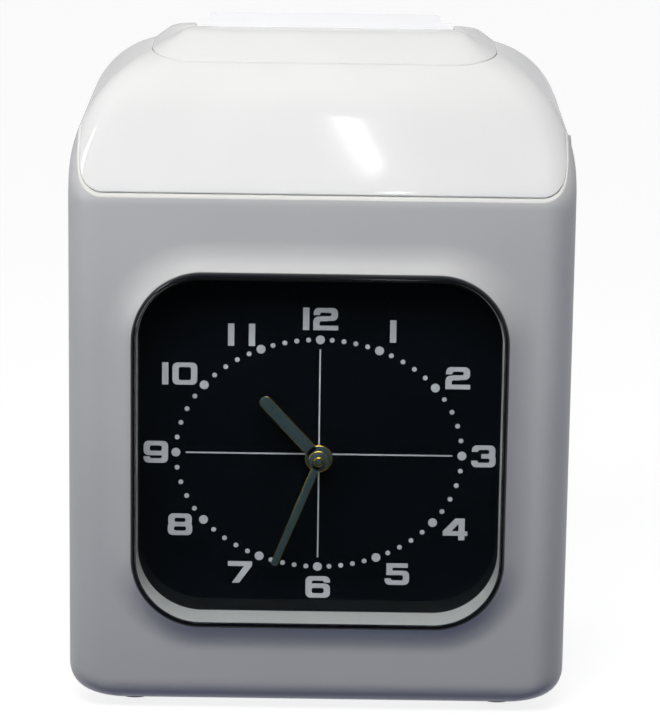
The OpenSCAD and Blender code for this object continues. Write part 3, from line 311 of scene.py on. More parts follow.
def rounded_block(low, high):
    """A box with round edges: each point of a sphere is pushed out to the box's eight corners."""
    radius, steps = 0.3, 4
    low, high = np.array(low, float), np.array(high, float)
    turn = np.linspace(0, 2 * np.pi, 4 * steps, endpoint=False) + np.pi / (4 * steps)
    rise = np.linspace(-np.pi / 2, np.pi / 2, 2 * steps)
    rise, turn = rise[:, None], turn[None, :]
    ball = np.stack([np.cos(rise) * np.cos(turn), np.cos(rise) * np.sin(turn), np.sin(rise) + 0 * turn], -1)
    half = (high - low) / 2 - radius
    return skin((low + high) / 2 + np.sign(np.round(ball, 9)) * half + radius * ball, wrap=True)


# Outer form of the housing

def arc_in(depth, radius):
    """How far a quarter round has come in, at a depth past the point where it starts."""
    depth = np.clip(depth, 0, radius)
    return radius - np.sqrt(radius**2 - depth**2)


def half_width(s, z):
    """Half width at height z: upright sides, a base arc below and a shoulder arc above."""
    return s.side - arc_in(s.floor + s.base - z, s.base) - arc_in(z - s.top + s.shoulder, s.shoulder)


def front_line(s, z):
    """Y of the front at height z: toe arc, upright, foot arc, lean and head arc, all tangent."""
    lean = math.atan2(s.lean_depth, s.lean_drop)
    foot_reach = s.lean_foot * math.tan(lean / 2)
    head_reach = s.lean_head * math.tan(math.pi / 4 - lean / 2)
    lean_z = s.top - s.lean_drop
    head_y = s.front + s.lean_depth + head_reach
    above = z - s.top + s.lean_head
    toe = s.front + arc_in(s.floor + s.toe - z, s.toe)
    foot = s.front + arc_in(z - lean_z + foot_reach, s.lean_foot)
    slope = s.front + (z - lean_z) * s.lean_depth / s.lean_drop
    head = head_y - np.sqrt(np.clip(s.lean_head**2 - above**2, 0, None))
    ends = [lean_z - foot_reach, lean_z + foot_reach * math.cos(lean), s.top - head_reach * math.cos(lean)]
    return np.select([z < end for end in ends], [toe, foot, slope], head)


def back_line(s, z):
    """Y of the back at height z: heel arc, upright and upper rear arc."""
    return s.back - arc_in(s.floor + s.heel - z, s.heel) - arc_in(z - s.top + s.rear_top, s.rear_top)


def half_ring(side_count, corner_count, flat_count):
    """Stations of the front half of a rounded rectangle, from the left split round to the right split.

    A station holds its share of the straight width (cx), its corner direction (nx, ny), its run from the
    split line to the corner, whether it lies at the rear, and how deep its corner is for its width.
    """
    run = np.linspace(0, 1, side_count, endpoint=False)
    turn = np.linspace(0, np.pi / 2, corner_count, endpoint=False)
    flat = np.linspace(-1, 1, flat_count)
    side, bend = np.ones(side_count), np.ones(corner_count)
    left = [
        np.concatenate([-side, -bend]),
        np.concatenate([-side, -np.cos(turn)]),
        np.concatenate([0 * side, -np.sin(turn)]),
        np.concatenate([run, bend]),
    ]
    middle = [flat, 0 * flat, 0 * flat - 1, 0 * flat + 1]
    signs = [-1, -1, 1, 1]
    cx, nx, ny, run = [np.concatenate([a, m, sign * a[::-1]]) for a, m, sign in zip(left, middle, signs)]
    rear = np.zeros(len(cx), bool)
    return SimpleNamespace(cx=cx, nx=nx, ny=ny, run=run, rear=rear, deep=np.ones(len(cx)))


def turned_ring(ring):
    """The same stations turned half round, for the rear."""
    turned_half = {"cx": -ring.cx, "nx": -ring.nx, "ny": -ring.ny, "rear": ~ring.rear}
    return SimpleNamespace(**{**vars(ring), **turned_half})


def whole_ring(ring):
    """Front and rear stations joined into one closed ring."""
    rear = turned_ring(ring)
    parts = {k: np.concatenate([getattr(ring, k)[:-1], getattr(rear, k)[:-1]]) for k in vars(ring)}
    return SimpleNamespace(**parts)


def full_ring(ring, power, deep):
    """The same stations with fuller front corners: sine and cosine raised to a power, and drawn deeper."""
    nx, ny = [np.sign(way) * np.abs(way) ** np.where(ring.rear, 1, power) for way in (ring.nx, ring.ny)]
    return SimpleNamespace(**{**vars(ring), "nx": nx, "ny": ny, "deep": np.where(ring.rear, 1, deep)})


def ring_plan(ring, half, front, back, front_round, rear_round, split):
    """Plan points of a rounded rectangle: straight part plus corner radius times corner direction."""
    radius = np.where(ring.rear, rear_round, front_round)
    deep = radius * ring.deep
    end = np.where(ring.rear, back - deep, front + deep)
    x = ring.cx * (half - radius) + radius * ring.nx
    y = (1 - ring.run) * split + ring.run * end + deep * ring.ny
    return x, y


def housing_skin(s, ring, z, split):
    """The housing's outer face at the ring's stations and heights z."""
    z = z + 0 * ring.cx
    half, front, back = half_width(s, z), front_line(s, z), back_line(s, z)
    x, y = ring_plan(ring, half, front, back, s.front_round, s.rear_round, split)
    return np.stack([x, y, z], axis=-1)


def seam_height(s, ring, gap):
    """Height at each station where the cover's outline, grown by gap, cuts the housing.

    The outline is level at the seam, turns up with the corner radius and then stands upright until it meets
    the shoulder arc.
    """
    half = s.side - s.cover_in + gap
    turn = s.cover_corner + gap
    radius = np.where(ring.rear, s.rear_round, s.front_round)
    reach = np.abs(ring.cx) * (s.side - radius) + radius * np.abs(ring.nx)
    low = s.seam - gap + arc_in(reach - half + turn, turn)
    width = half + radius * (1 - np.abs(ring.nx))
    inner = np.clip(width - s.side + s.shoulder, 0, s.shoulder)
    high = s.top - s.shoulder + np.sqrt(s.shoulder**2 - inner**2)
    return np.where((np.abs(ring.cx) == 1) & (width < s.side), np.maximum(low, high), low)


def floor_rows(ring_points, count):
    """Rows of the underside, from the split line straight across to the lowest ring."""
    step = np.linalg.norm(np.diff(ring_points, axis=0), axis=1)
    share = np.concatenate([[0], np.cumsum(step)]) / step.sum()
    start = ring_points[0] + share[:, None] * (ring_points[-1] - ring_points[0])
    along = np.linspace(0, 1, count, endpoint=False)[:, None, None]
    return start + along * (ring_points - start)


def shell_rows(s, ring, split, seam, upright_rows):
    """Rows of a shell: underside, base arc, upright rows, rows up to the seam and a rolled edge.

    Also returns the number of the first upright row.
    """
    under_rows, high = 6, s.seam - 10
    arc = np.linspace(0, np.pi / 2, 14, endpoint=False)
    base = s.floor + s.base * (1 - np.cos(arc))
    upright = np.linspace(s.floor + s.base, high, upright_rows)
    climb = np.linspace(0, 1, 12)[1:, None]
    top = high + climb * (seam - s.seam_roll - high)
    steps = np.concatenate([base, upright])[:, None] + 0 * seam
    wall = housing_skin(s, ring, np.concatenate([steps, top]), split)
    turn = np.linspace(0, np.pi / 2, EDGE_ROWS + 1)[1:, None]
    roll = housing_skin(s, ring, seam - s.seam_roll * (1 - np.sin(turn)), split)
    inward = np.stack([ring.nx, ring.ny, 0 * ring.nx], axis=-1)
    roll = roll - s.seam_roll * (1 - np.cos(turn))[..., None] * inward
    return np.concatenate([floor_rows(wall[0], under_rows), wall, roll]), under_rows + len(base)


def lens_ring(s, across, up):
    """Points and outward directions round the lens outline in XZ, side by side from the lower left.

    Each side starts and ends with half a corner, which takes a share of its points.
    """
    low, high = corner("lens", 0), corner("lens", 1)
    middle = (low + high)[[0, 2]] / 2
    half = (high - low)[[0, 2]] / 2 - s.lens_corner
    share = 0.28
    points, ways = [], []
    for turn, count in enumerate((across, up, across, up)):
        t = np.arange(count) / count
        along = np.clip((t - share) / (1 - 2 * share), 0, 1) * 2 - 1
        bend = (np.minimum(t / share, 1) - 1 + np.maximum((t - 1) / share + 1, 0)) * np.pi / 4
        way = np.array([math.cos(turn * math.pi / 2), math.sin(turn * math.pi / 2)]).round()
        out = np.array([way[1], -way[0]])
        normal = way * np.sin(bend)[:, None] + out * np.cos(bend)[:, None]
        flat = way * along[:, None] * np.abs(way @ half) + out * np.abs(out @ half)
        points.append(middle + flat + s.lens_corner * normal)
        ways.append(normal)
    return np.concatenate(points), np.concatenate(ways)


def round_lens(points, ways, profile):
    """Carries a profile of (grow, y) points round the lens outline."""
    grow, y = np.array(profile, float).T[:, :, None]
    flat = points + grow[:, :, None] * ways
    return np.stack([flat[..., 0], y + 0 * flat[..., 0], flat[..., 1]], axis=-1)


def bend_between(start, knee, end, count):
    """A soft corner: the quadratic curve from start to end that leans on the knee."""
    t = np.linspace(0, 1, count)[:, None]
    return (1 - t) ** 2 * np.array(start) + 2 * t * (1 - t) * np.array(knee) + t**2 * np.array(end)


def collar_profile(s):
    """From the flat front: a hollow cove up to the lens seat, the seat, then the wall of the dial's tub."""
    seat = s.front - s.cove_rise
    first, lip_round, seat_in, tub_in = 0.02, 0.5, 0.7, 2
    radius = (s.cove_width**2 + s.cove_rise**2) / (2 * s.cove_rise)
    last = math.acos(1 - (s.cove_rise - lip_round) / radius)
    turn = np.linspace(first, last, 14)
    cove = np.stack([s.cove_width - radius * np.sin(turn), s.front - radius * (1 - np.cos(turn))], -1)
    knee = cove[-1] - np.array([lip_round / math.tan(last), lip_round])
    rim = bend_between(cove[-1], knee, (-seat_in, seat), 6)[1:]
    start, end = (-s.lens_wall + lip_round, seat), (-s.lens_wall, seat + lip_round)
    lip = bend_between(start, (-s.lens_wall, seat), end, 5)
    dial = corner("dial", 0)[1]
    wall = np.stack([np.full(6, -s.lens_wall), np.linspace(seat + tub_in, dial, 6)], -1)
    return np.concatenate([cove, rim, lip, wall])


# Finishes

def add_node(tree, kind, settings=(), inputs=()):
    """Adds a node, sets its attributes, and fills its inputs with values or links from other sockets."""
    node = tree.nodes.new(kind)
    for key, value in dict(settings).items():
        setattr(node, key, value)
    for key, value in dict(inputs).items():
        if isinstance(value, bpy.types.NodeSocket):
            tree.links.new(value, node.inputs[key])
        else:
            node.inputs[key].default_value = value
    return node


def new_finish(name):
    """An empty material: its node tree, and the object's own coordinates in metres."""
    finish = bpy.data.materials.new(name)
    finish.use_nodes = True
    finish.node_tree.nodes.clear()
    place = add_node(finish.node_tree, "ShaderNodeTexCoord").outputs["Object"]
    return finish, finish.node_tree, place


def surface(name, colour, dip, cloud, rough, grain, ridge, stretch=(1, 1, 1), more=()):
    """A solid material: slow clouds that dip the colour, and a fine grain in its gloss and relief.

    Cloud and grain are the widths of the blobs and ridge the height of the relief, in millimetres. Rough
    holds the least and the greatest roughness. Stretch draws the grain out along an axis. More fills other
    inputs of the shader.
    """
    finish, tree, place = new_finish(name)
    inputs = {"Vector": place, "Scale": 1 / (cloud * MM), "Detail": 1.0}
    slow = add_node(tree, "ShaderNodeTexNoise", inputs=inputs)
    spread = {"From Min": 0.3, "From Max": 0.7}
    share = add_node(tree, "ShaderNodeMapRange", inputs={"Value": slow.outputs["Fac"], **spread})
    dark = tuple(np.array(colour) * (1 - dip))
    inputs = {0: share.outputs["Result"], 6: (*dark, 1), 7: (*colour, 1)}
    tone = add_node(tree, "ShaderNodeMix", {"data_type": "RGBA"}, inputs)
    drawn = add_node(tree, "ShaderNodeMapping", inputs={"Vector": place, "Scale": stretch})
    inputs = {"Vector": drawn.outputs["Vector"], "Scale": 1 / (grain * MM), "Detail": 3.0}
    fine = add_node(tree, "ShaderNodeTexNoise", inputs=inputs).outputs["Fac"]
    inputs = {"Value": fine, **spread, "To Min": rough[0], "To Max": rough[1]}
    gloss = add_node(tree, "ShaderNodeMapRange", inputs=inputs)
    relief = add_node(tree, "ShaderNodeBump", inputs={"Height": fine, "Distance": ridge * MM})
    shader = add_node(tree, "ShaderNodeBsdfPrincipled", inputs={
        "Base Color": tone.outputs[2],
        "Roughness": gloss.outputs["Result"],
        "Normal": relief.outputs["Normal"],
        **dict(more),
    })
    add_node(tree, "ShaderNodeOutputMaterial", inputs={"Surface": shader.outputs[0]})
    return finish


def clear_acrylic():
    """Polished acrylic: the eye sees through it, with a mirror skin and a faint moulding ripple."""
    finish, tree, place = new_finish("clear acrylic")
    inputs = {"Vector": place, "Scale": 1 / (30 * MM), "Detail": 1.0}
    ripple = add_node(tree, "ShaderNodeTexNoise", inputs=inputs).outputs["Fac"]
    relief = add_node(tree, "ShaderNodeBump", inputs={"Height": ripple, "Distance": 0.008 * MM})
    shader = add_node(tree, "ShaderNodeBsdfPrincipled", inputs={
        "Base Color": (*linear("#F6FAFA"), 1),
        "Roughness": 0.0,
        "IOR": 1.49,
        "Transmission Weight": 1.0,
        "Normal": relief.outputs["Normal"],
    })
    add_node(tree, "ShaderNodeOutputMaterial", inputs={"Surface": shader.outputs[0]})
    return finish


def woven_ribbon():
    """Inked nylon ribbon: the eye sees a fine dark weave; threads drawn 0.4 mm apart so that they show."""
    finish, tree, place = new_finish("inked nylon ribbon")
    inputs = {"Vector": place, "Scale": 0.1 * math.pi / (0.4 * MM), "Distortion": 0.4}
    threads = add_node(tree, "ShaderNodeTexWave", {"bands_direction": "DIAGONAL"}, inputs).outputs["Fac"]
    inputs = {0: threads, 6: (*linear("#121216"), 1), 7: (*linear("#26262C"), 1)}
    tone = add_node(tree, "ShaderNodeMix", {"data_type": "RGBA"}, inputs)
    relief = add_node(tree, "ShaderNodeBump", inputs={"Height": threads, "Distance": 0.03 * MM})
    shader = add_node(tree, "ShaderNodeBsdfPrincipled", inputs={
        "Base Color": tone.outputs[2],
        "Roughness": 0.7,
        "Sheen Weight": 0.2,
        "Normal": relief.outputs["Normal"],
    })
    add_node(tree, "ShaderNodeOutputMaterial", inputs={"Surface": shader.outputs[0]})
    return finish


def solder_resist():
    """Printed circuit board: the eye sees green lacquer, lighter over copper tracks about 7 mm apart."""
    finish, tree, place = new_finish("solder resist")
    inputs = {"Vector": place, "Scale": 1 / (7 * MM)}
    cells = add_node(tree, "ShaderNodeTexVoronoi", {"feature": "DISTANCE_TO_EDGE"}, inputs)
    edge = {"From Min": 0.05, "From Max": 0.07, "To Min": 1.0, "To Max": 0.0}
    inputs = {"Value": cells.outputs["Distance"], **edge}
    track = add_node(tree, "ShaderNodeMapRange", inputs=inputs).outputs["Result"]
    inputs = {0: track, 6: (*linear("#1C5A38"), 1), 7: (*linear("#2F7A4C"), 1)}
    tone = add_node(tree, "ShaderNodeMix", {"data_type": "RGBA"}, inputs)
    relief = add_node(tree, "ShaderNodeBump", inputs={"Height": track, "Distance": 0.025 * MM})
    shader = add_node(tree, "ShaderNodeBsdfPrincipled", inputs={
        "Base Color": tone.outputs[2],
        "Roughness": 0.3,
        "IOR": 1.55,
        "Normal": relief.outputs["Normal"],
    })
    add_node(tree, "ShaderNodeOutputMaterial", inputs={"Surface": shader.outputs[0]})
    return finish


def finishes(colours):
    """Every finish by the record's slot name; a row fills the arguments of surface after the slot."""
    even, plastic, metal = (1, 1, 1), {"IOR": 1.53}, {"Metallic": 1.0}
    enamel = {"IOR": 1.5, "Specular IOR Level": 0.2}
    rubber, glass = {"IOR": 1.52}, {"IOR": 1.52, "Coat Weight": 0.5}
    grey, blue, red, black = [linear(code) for code in ("#C4C6C8", "#2A4E93", "#B32A22", "#1D1E20")]
    chrome, zinc, drawn, ground = [linear(code) for code in ("#DADCDE", "#BFC2C2", "#8A8C90", "#C9CBCC")]
    cream, core, tyre, pane = [linear(code) for code in ("#DDD3B8", "#5A5450", "#1E1E1F", "#9AA690")]
    # Grain drawn out along an axis: a share under one stretches it
    along_x, along_y, along_z, down_can = (0.2, 1, 1), (1, 0.05, 1), (1, 1, 0.15), (1, 1, 0.2)
    rows = [
        # Moulded ABS: an even colour with slow flow shading, satin or glossy with the tool's finish.
        ("case_plastic", "satin ABS", colours.case, 0.03, 45, (0.3, 0.38), 1.1, 0.006, even, plastic),
        ("cover_plastic", "gloss ABS", colours.cover, 0.03, 45, (0.04, 0.06), 2.4, 0.0004, even, plastic),
        ("panel_plastic", "matt grey ABS", grey, 0.03, 45, (0.44, 0.56), 0.7, 0.02, even, plastic),
        ("blue_button", "blue ABS", blue, 0.03, 20, (0.28, 0.36), 1.0, 0.006, even, plastic),
        ("red_button", "red ABS", red, 0.03, 20, (0.28, 0.36), 1.0, 0.006, even, plastic),
        # Spark textured black ABS: a dull black with a sandy grain.
        ("black_plastic", "textured black ABS", black, 0.1, 20, (0.44, 0.56), 0.6, 0.03, even, plastic),
        # Natural nylon: waxy cream with soft cloudy depth.
        ("cream_nylon", "natural nylon", cream, 0.05, 12, (0.37, 0.47), 1.5, 0.008, even, plastic),
        # Sprayed enamel: a flat glossy black with a faint orange peel.
        ("dial_paint", "gloss black enamel", colours.dial, 0.1, 25, (0.04, 0.07), 0.5, 0.0005, even, enamel),
        # Polished brass and chrome: a tinted mirror, clouded by handling.
        ("polished_brass", "polished brass", colours.brass, 0.12, 9, (0.12, 0.2), 0.8, 0.004, even, metal),
        ("lock_chrome", "bright chrome plate", chrome, 0.1, 9, (0.06, 0.1), 2.0, 0.004, even, metal),
        # Rolled, drawn and ground steel: a grey sheen broken by lines along the working direction.
        ("zinc_sheet", "zinc plated sheet steel", zinc, 0.12, 9, (0.29, 0.49), 1.2, 0.005, along_z, metal),
        ("motor_can", "drawn steel can", drawn, 0.12, 9, (0.34, 0.58), 1.0, 0.005, down_can, metal),
        ("bright_steel", "ground bright steel", ground, 0.12, 9, (0.17, 0.28), 0.5, 0.005, along_x, metal),
        ("core_steel", "varnished core steel", core, 0.12, 9, (0.32, 0.54), 0.9, 0.005, along_y, metal),
        # Moulded rubber: soft dull black with a bloom of dust.
        ("black_rubber", "black rubber", tyre, 0.4, 3, (0.6, 0.8), 0.4, 0.018, even, rubber),
        # Liquid crystal behind glass: a grey green pane with a glossy skin and a faint cloud.
        ("display_glass", "display glass", pane, 0.15, 12, (0.06, 0.1), 3.0, 0.001, even, glass),
    ]
    made = {slot: surface(*values) for slot, *values in rows}
    made.update(clear_acrylic=clear_acrylic(), ribbon_fabric=woven_ribbon(), circuit_board=solder_resist())
    return made


# Operators, one for each piece or group of like pieces

class CLOCK_OT_finishes(bpy.types.Operator):
    """Makes every finish and paints the solids that keep their own shape"""

    bl_idname = "clock.finishes"
    bl_label = "Finishes"

    def execute(self, context):
        made = finishes(context.scene.clock_colours)
        context.scene["clock_finishes"] = {slot: finish.name for slot, finish in made.items()}
        for part in frame["record"]["subparts"]:
            solid = frame["nodes"][part["node"]]
            solid.data.materials.clear()
            solid.data.materials.append(made[part["material_slot"]])
        # Thin styrene sheet: white, with an emitted glow painted in to stand for the light that would come
        # through it from behind.
        glow = {"IOR": 1.59, "Emission Color": (1, 1, 1, 1), "Emission Strength": 0.18}
        sheet = surface("thin styrene sheet", linear("#F4F4F6"), 0.02, 45, (0.3, 0.4), 2.0, 0.002, more=glow)
        frame["nodes"]["rear_card_guide"].data.materials[0] = sheet
        return {"FINISHED"}


def slot_finish(context, slot):
    """The finish that belongs to a slot of the record."""
    return bpy.data.materials[context.scene["clock_finishes"][slot]]


class CLOCK_OT_front_shell(bpy.types.Operator):
    """Builds the front shell with its hollow collar and the tub behind the lens"""

    bl_idname = "clock.front_shell"
    bl_label = "Front shell"

    def execute(self, context):
        s = sizes(context)
        side, bend, across, up = 16, 12, 49, 53
        ring = half_ring(side, bend, across)
        split = s.split - s.split_gap / 2
        points, first = shell_rows(s, ring, split, seam_height(s, ring, s.seam_gap), up)
        keep = np.ones((points.shape[0] - 1, points.shape[1] - 1), bool)
        left = side + bend
        keep[first : first + up - 1, left : left + across - 1] = False
        flat = points[first : first + up, left : left + across]
        edge = np.concatenate([flat[0, :-1], flat[:-1, -1], flat[-1, :0:-1], flat[:0:-1, 0]])
        outline, ways = lens_ring(s, across - 1, up - 1)
        collar = round_lens(outline, ways, collar_profile(s))
        share = np.linspace(0, 1, 4, endpoint=False)[:, None, None]
        plain = edge + share * (collar[0] - edge)
        skins = [skin(points, keep=keep), skin(np.concatenate([plain, collar]), wrap=True)]
        # Faces of the rolled edge along the seam: they take the lighter bead finish, a painted highlight.
        bead_painted_highlight = np.zeros(keep.shape, np.int32)
        bead_painted_highlight[-EDGE_ROWS:] = 1
        bead_painted_highlight = np.concatenate([bead_painted_highlight[keep], np.zeros(len(skins[1][1]), np.int32)])
        finish = slot_finish(context, "case_plastic")
        # Polished ABS: the bead along the seam, glossier than the satin wall, and painted lighter than it as
        # a highlight where its round edge catches the light.
        bright = surface("polished ABS bead", linear("#EFEEE9"), 0.02, 45, (0.14, 0.18), 2.0, 0.001)
        used, nodes = [finish, bright], ["front_case"]
        shell = make_piece("front_shell", skins, used, "case_body", nodes, False, bead_painted_highlight)
        thicken(shell, s.wall)
        low, high = corner("lock_body", 0), corner("lock_body", 1)
        lock, clearance = (low + high) / 2, 0.1
        reach = (high - low)[2] / 2 + clearance
        cut(shell, [drill(reach, s.side - CUT_IN, s.side + CUT_OUT, (0, lock[1], lock[2]), "x")])
        soften(shell, radius=0.3)
        return {"FINISHED"}


class CLOCK_OT_rear_shell(bpy.types.Operator):
    """Builds the rear shell with its keyholes, cord hole and screw wells"""

    bl_idname = "clock.rear_shell"
    bl_label = "Rear shell"

    def execute(self, context):
        s = sizes(context)
        ring = turned_ring(half_ring(side_count=10, corner_count=12, flat_count=41))
        split = s.split + s.split_gap / 2
        points, _ = shell_rows(s, ring, split, seam_height(s, ring, s.seam_gap), upright_rows=40)
        finish = slot_finish(context, "case_plastic")
        skins, nodes = [skin(points)], ["rear_case"]
        shell = make_piece("rear_shell", skins, [finish], "case_body", nodes)
        thicken(shell, s.wall)
        bush = (corner("cord_bush", 0) + corner("cord_bush", 1)) / 2
        bush_round, well_round, well_deep = 5.5, 3.3, 12
        keyhole_side, keyhole_height = 45, 168
        inner, outer = s.back - CUT_IN, s.back + CUT_OUT
        keyholes = [keyhole_outline() + np.array([keyhole_side * k, keyhole_height]) for k in SIDES]
        holes = [hole_along_y(outline, inner, outer) for outline in keyholes]
        holes.append(drill(bush_round, inner, outer, (bush[0], 0, bush[2]), "y"))
        holes += [drill(well_round, s.back - well_deep, outer, (x, 0, z), "y") for x, z in CASE_SCREWS]
        cut(shell, holes)
        soften(shell, radius=0.3)
        return {"FINISHED"}


def keyhole_outline():
    """A round hole with a narrower slot above: the slot's end, then the circle between the slot's sides."""
    big, half, rise = 4.5, 2.3, 9
    top = np.linspace(0, np.pi, 13)
    start = math.acos(half / big)
    low = np.linspace(np.pi - start, 2 * np.pi + start, 33)
    slot = np.stack([half * np.cos(top), rise + half * np.sin(top)], -1)
    ring = big * np.stack([np.cos(low), np.sin(low)], -1)
    return np.concatenate([slot, ring])


def hole_along_y(outline, start, end):
    """A closed prism: an outline of (x, z) points carried along y, each end drawn in to its middle."""
    middle = outline.mean(axis=0) + 0 * outline
    rows = [upright_print(middle, start), upright_print(outline, start)]
    rows += [upright_print(outline, end), upright_print(middle, end)]
    return skin(np.stack(rows), wrap=True)


class CLOCK_OT_mouldings(bpy.types.Operator):
    """Builds the bosses, posts, ledges, tongues and legs inside the shells, the cover and the throat"""

    bl_idname = "clock.mouldings"
    bl_label = "Inner mouldings"

    def execute(self, context):
        case, cover = slot_finish(context, "case_plastic"), slot_finish(context, "cover_plastic")
        # Tubes along y, given by x, z, bore, radius and both ends: screw bosses in front and behind, posts
        # of the main board and posts of the dial
        tubes = [(x, z, 1.7, 4, 12, 29.8) for x, z in CASE_SCREWS]
        tubes += [(x, z, 3.3, 5, 38, 58) for x, z in CASE_SCREWS]
        tubes += [(49 * k, z, 1.2, 3, 47.2, 64) for k in SIDES for z in (47, 143)]
        tubes += [(73.3 * k, 101.25 + 35 * j, 1.2, 3.5, -55.8, -47.1) for k in SIDES for j in SIDES]
        skins = [tube(bore, r, start, end, (x, 0, z), "y") for x, z, bore, r, start, end in tubes]
        # Bosses on the floor that carry the chassis, and ledges behind the rear tongues
        skins += [tube(1.2, 4, 4.6, 8.4, (49 * k, y, 0), "z") for k in SIDES for y in (-1, 22.2)]
        skins += three_tabs((59.5, 64.4), (186, 189))
        make_piece("case_mouldings", skins, [case], "case_body", (), True)
        # Front tongues, rear tongues, and the arm and ledge that the lock's cam holds
        skins = three_tabs((-54.5, -52.5), (182.8, 198)) + three_tabs((61, 63), (189, 202))
        skins.append(rounded_block((79.2, -1.5, 193), (82.2, 7.4, 218)))
        skins.append(rounded_block((72.2, -1.5, 193), (82.2, 7.4, 199)))
        make_piece("cover_mouldings", skins, [cover], "cover_body", (), True)
        legs = [rounded_block((62 * k - 1, -7, 222.2), (62 * k + 1, 28.2, 237)) for k in SIDES]
        make_piece("throat_legs", legs, [cover], "case_body", (), True)
        return {"FINISHED"}


def three_tabs(y, z):
    """Three blocks in a row across, each between two depths and two heights."""
    half, apart = 7, 55
    return [rounded_block((x - half, y[0], z[0]), (x + half, y[1], z[1])) for x in (-apart, 0, apart)]


class CLOCK_OT_cover(bpy.types.Operator):
    """Builds the gloss cover from its seam up to the hole for the card throat"""

    bl_idname = "clock.cover"
    bl_label = "Upper cover"

    def execute(self, context):
        s = sizes(context)
        ring = whole_ring(half_ring(side_count=16, corner_count=14, flat_count=57))
        seam = seam_height(s, ring, 0.0)
        band, gap, ease = 8, 0.3, 0.75
        climb = np.linspace(0, band, 6)[:, None]
        lower = housing_skin(s, ring, seam + climb, s.split)
        start = lower[-1, :, :2]
        turn = np.linspace(0, np.pi, 30)[1:] * ease
        share = (1 - np.cos(turn)) / (1 - math.cos(ease * math.pi))
        plan = start + share[:, None, None] * (throat_outline(s, ring, -gap) - start)
        upper = raised(plan, housing_height(s, plan))
        skins = [skin(np.concatenate([lower, upper]), wrap=True)]
        finish = slot_finish(context, "cover_plastic")
        cover = make_piece("cover", skins, [finish], "cover_body", ["upper_cover"])
        thicken(cover, s.wall)
        soften(cover, radius=0.45)
        return {"FINISHED"}


def throat_outline(s, ring, inset):
    """Plan points of the throat's outline drawn in by inset, its front corners fuller than a quarter."""
    low, high = corner("card_throat", 0), corner("card_throat", 1)
    full = full_ring(ring, power=0.7, deep=s.throat_deep / s.throat_front)
    half, front, back = high[0] - inset, low[1] + inset, high[1] - inset
    plan = ring_plan(full, half, front, back, s.throat_front - inset, s.throat_rear - inset, s.split)
    return np.stack(plan, axis=-1)


def slot_outline(s, ring, grow):
    """Plan points of the card slot grown by a distance, with corners that keep their radius."""
    radius, middle = 0.8, (s.slot_front + s.slot_back) / 2
    half, front, back = s.slot_half + grow, s.slot_front - grow, s.slot_back + grow
    return np.stack(ring_plan(ring, half, front, back, radius, radius, middle), axis=-1)


def raised(plan, z):
    """Plan points lifted to height z."""
    return np.concatenate([plan, (z + 0 * plan[..., 0])[..., None]], axis=-1)


def housing_height(s, plan):
    """Height of the housing over plan points: halving finds where the rounded section shrinks onto each."""
    x, y = np.abs(plan[..., 0]), plan[..., 1]
    low, high = np.full(x.shape, s.seam - 20), np.full(x.shape, s.top)
    for _ in range(40):
        z = (low + high) / 2
        half, front, back = half_width(s, z), front_line(s, z), back_line(s, z)
        radius = np.where(y < s.split, s.front_round, s.rear_round)
        over_x = x - half + radius
        over_y = np.maximum(front - y, y - back) + radius
        past_corner = np.hypot(np.maximum(over_x, 0), np.maximum(over_y, 0))
        inside = past_corner + np.minimum(np.maximum(over_x, over_y), 0) - radius < 0
        low = np.where(inside, z, low)
        high = np.where(inside, high, z)
    return (low + high) / 2


class CLOCK_OT_throat(bpy.types.Operator):
    """Builds the raised card throat with its slot"""

    bl_idname = "clock.throat"
    bl_label = "Card throat"

    def execute(self, context):
        s = sizes(context)
        ring = whole_ring(half_ring(side_count=14, corner_count=12, flat_count=49))
        top = corner("card_throat", 1)[2]
        edge, lip, wall, draft, slot_deep = 0.45, 0.5, 2.0, 1.4, 6
        foot = top - s.throat_skirt
        border = throat_outline(s, ring, edge)
        rim = throat_top(s, border, top, edge)
        outline = throat_outline(s, ring, 0)
        rows = [raised(outline, z) for z in (foot, (foot + rim) / 2 - edge / 2)]
        for a in np.linspace(0, np.pi / 2, 6)[:-1]:
            rolled = throat_outline(s, ring, edge * (1 - math.cos(a)))
            rows.append(raised(rolled, rim - edge * (1 - math.sin(a))))
        share = np.linspace(0, 1, 26)
        share = share * share * (3 - 2 * share)
        plan = border + share[:, None, None] * (slot_outline(s, ring, lip) - border)
        inset = edge + np.linalg.norm(plan - border, axis=-1)
        crown = raised(plan, throat_top(s, plan, top, inset))
        rows += [*crown]
        for a in np.linspace(0, np.pi / 2, 5)[1:]:
            mouth = slot_outline(s, ring, lip * (1 - math.sin(a)))
            rows.append(raised(mouth, crown[-1, :, 2] - lip * (1 - math.cos(a))))
        rows.append(raised(slot_outline(s, ring, -draft), top - slot_deep))
        skins = [skin(np.stack(rows), wrap=True)]
        finish = slot_finish(context, "cover_plastic")
        throat = make_piece("throat", skins, [finish], "case_body", ["card_throat"])
        thicken(throat, wall)
        soften(throat, radius=0.3)
        return {"FINISHED"}


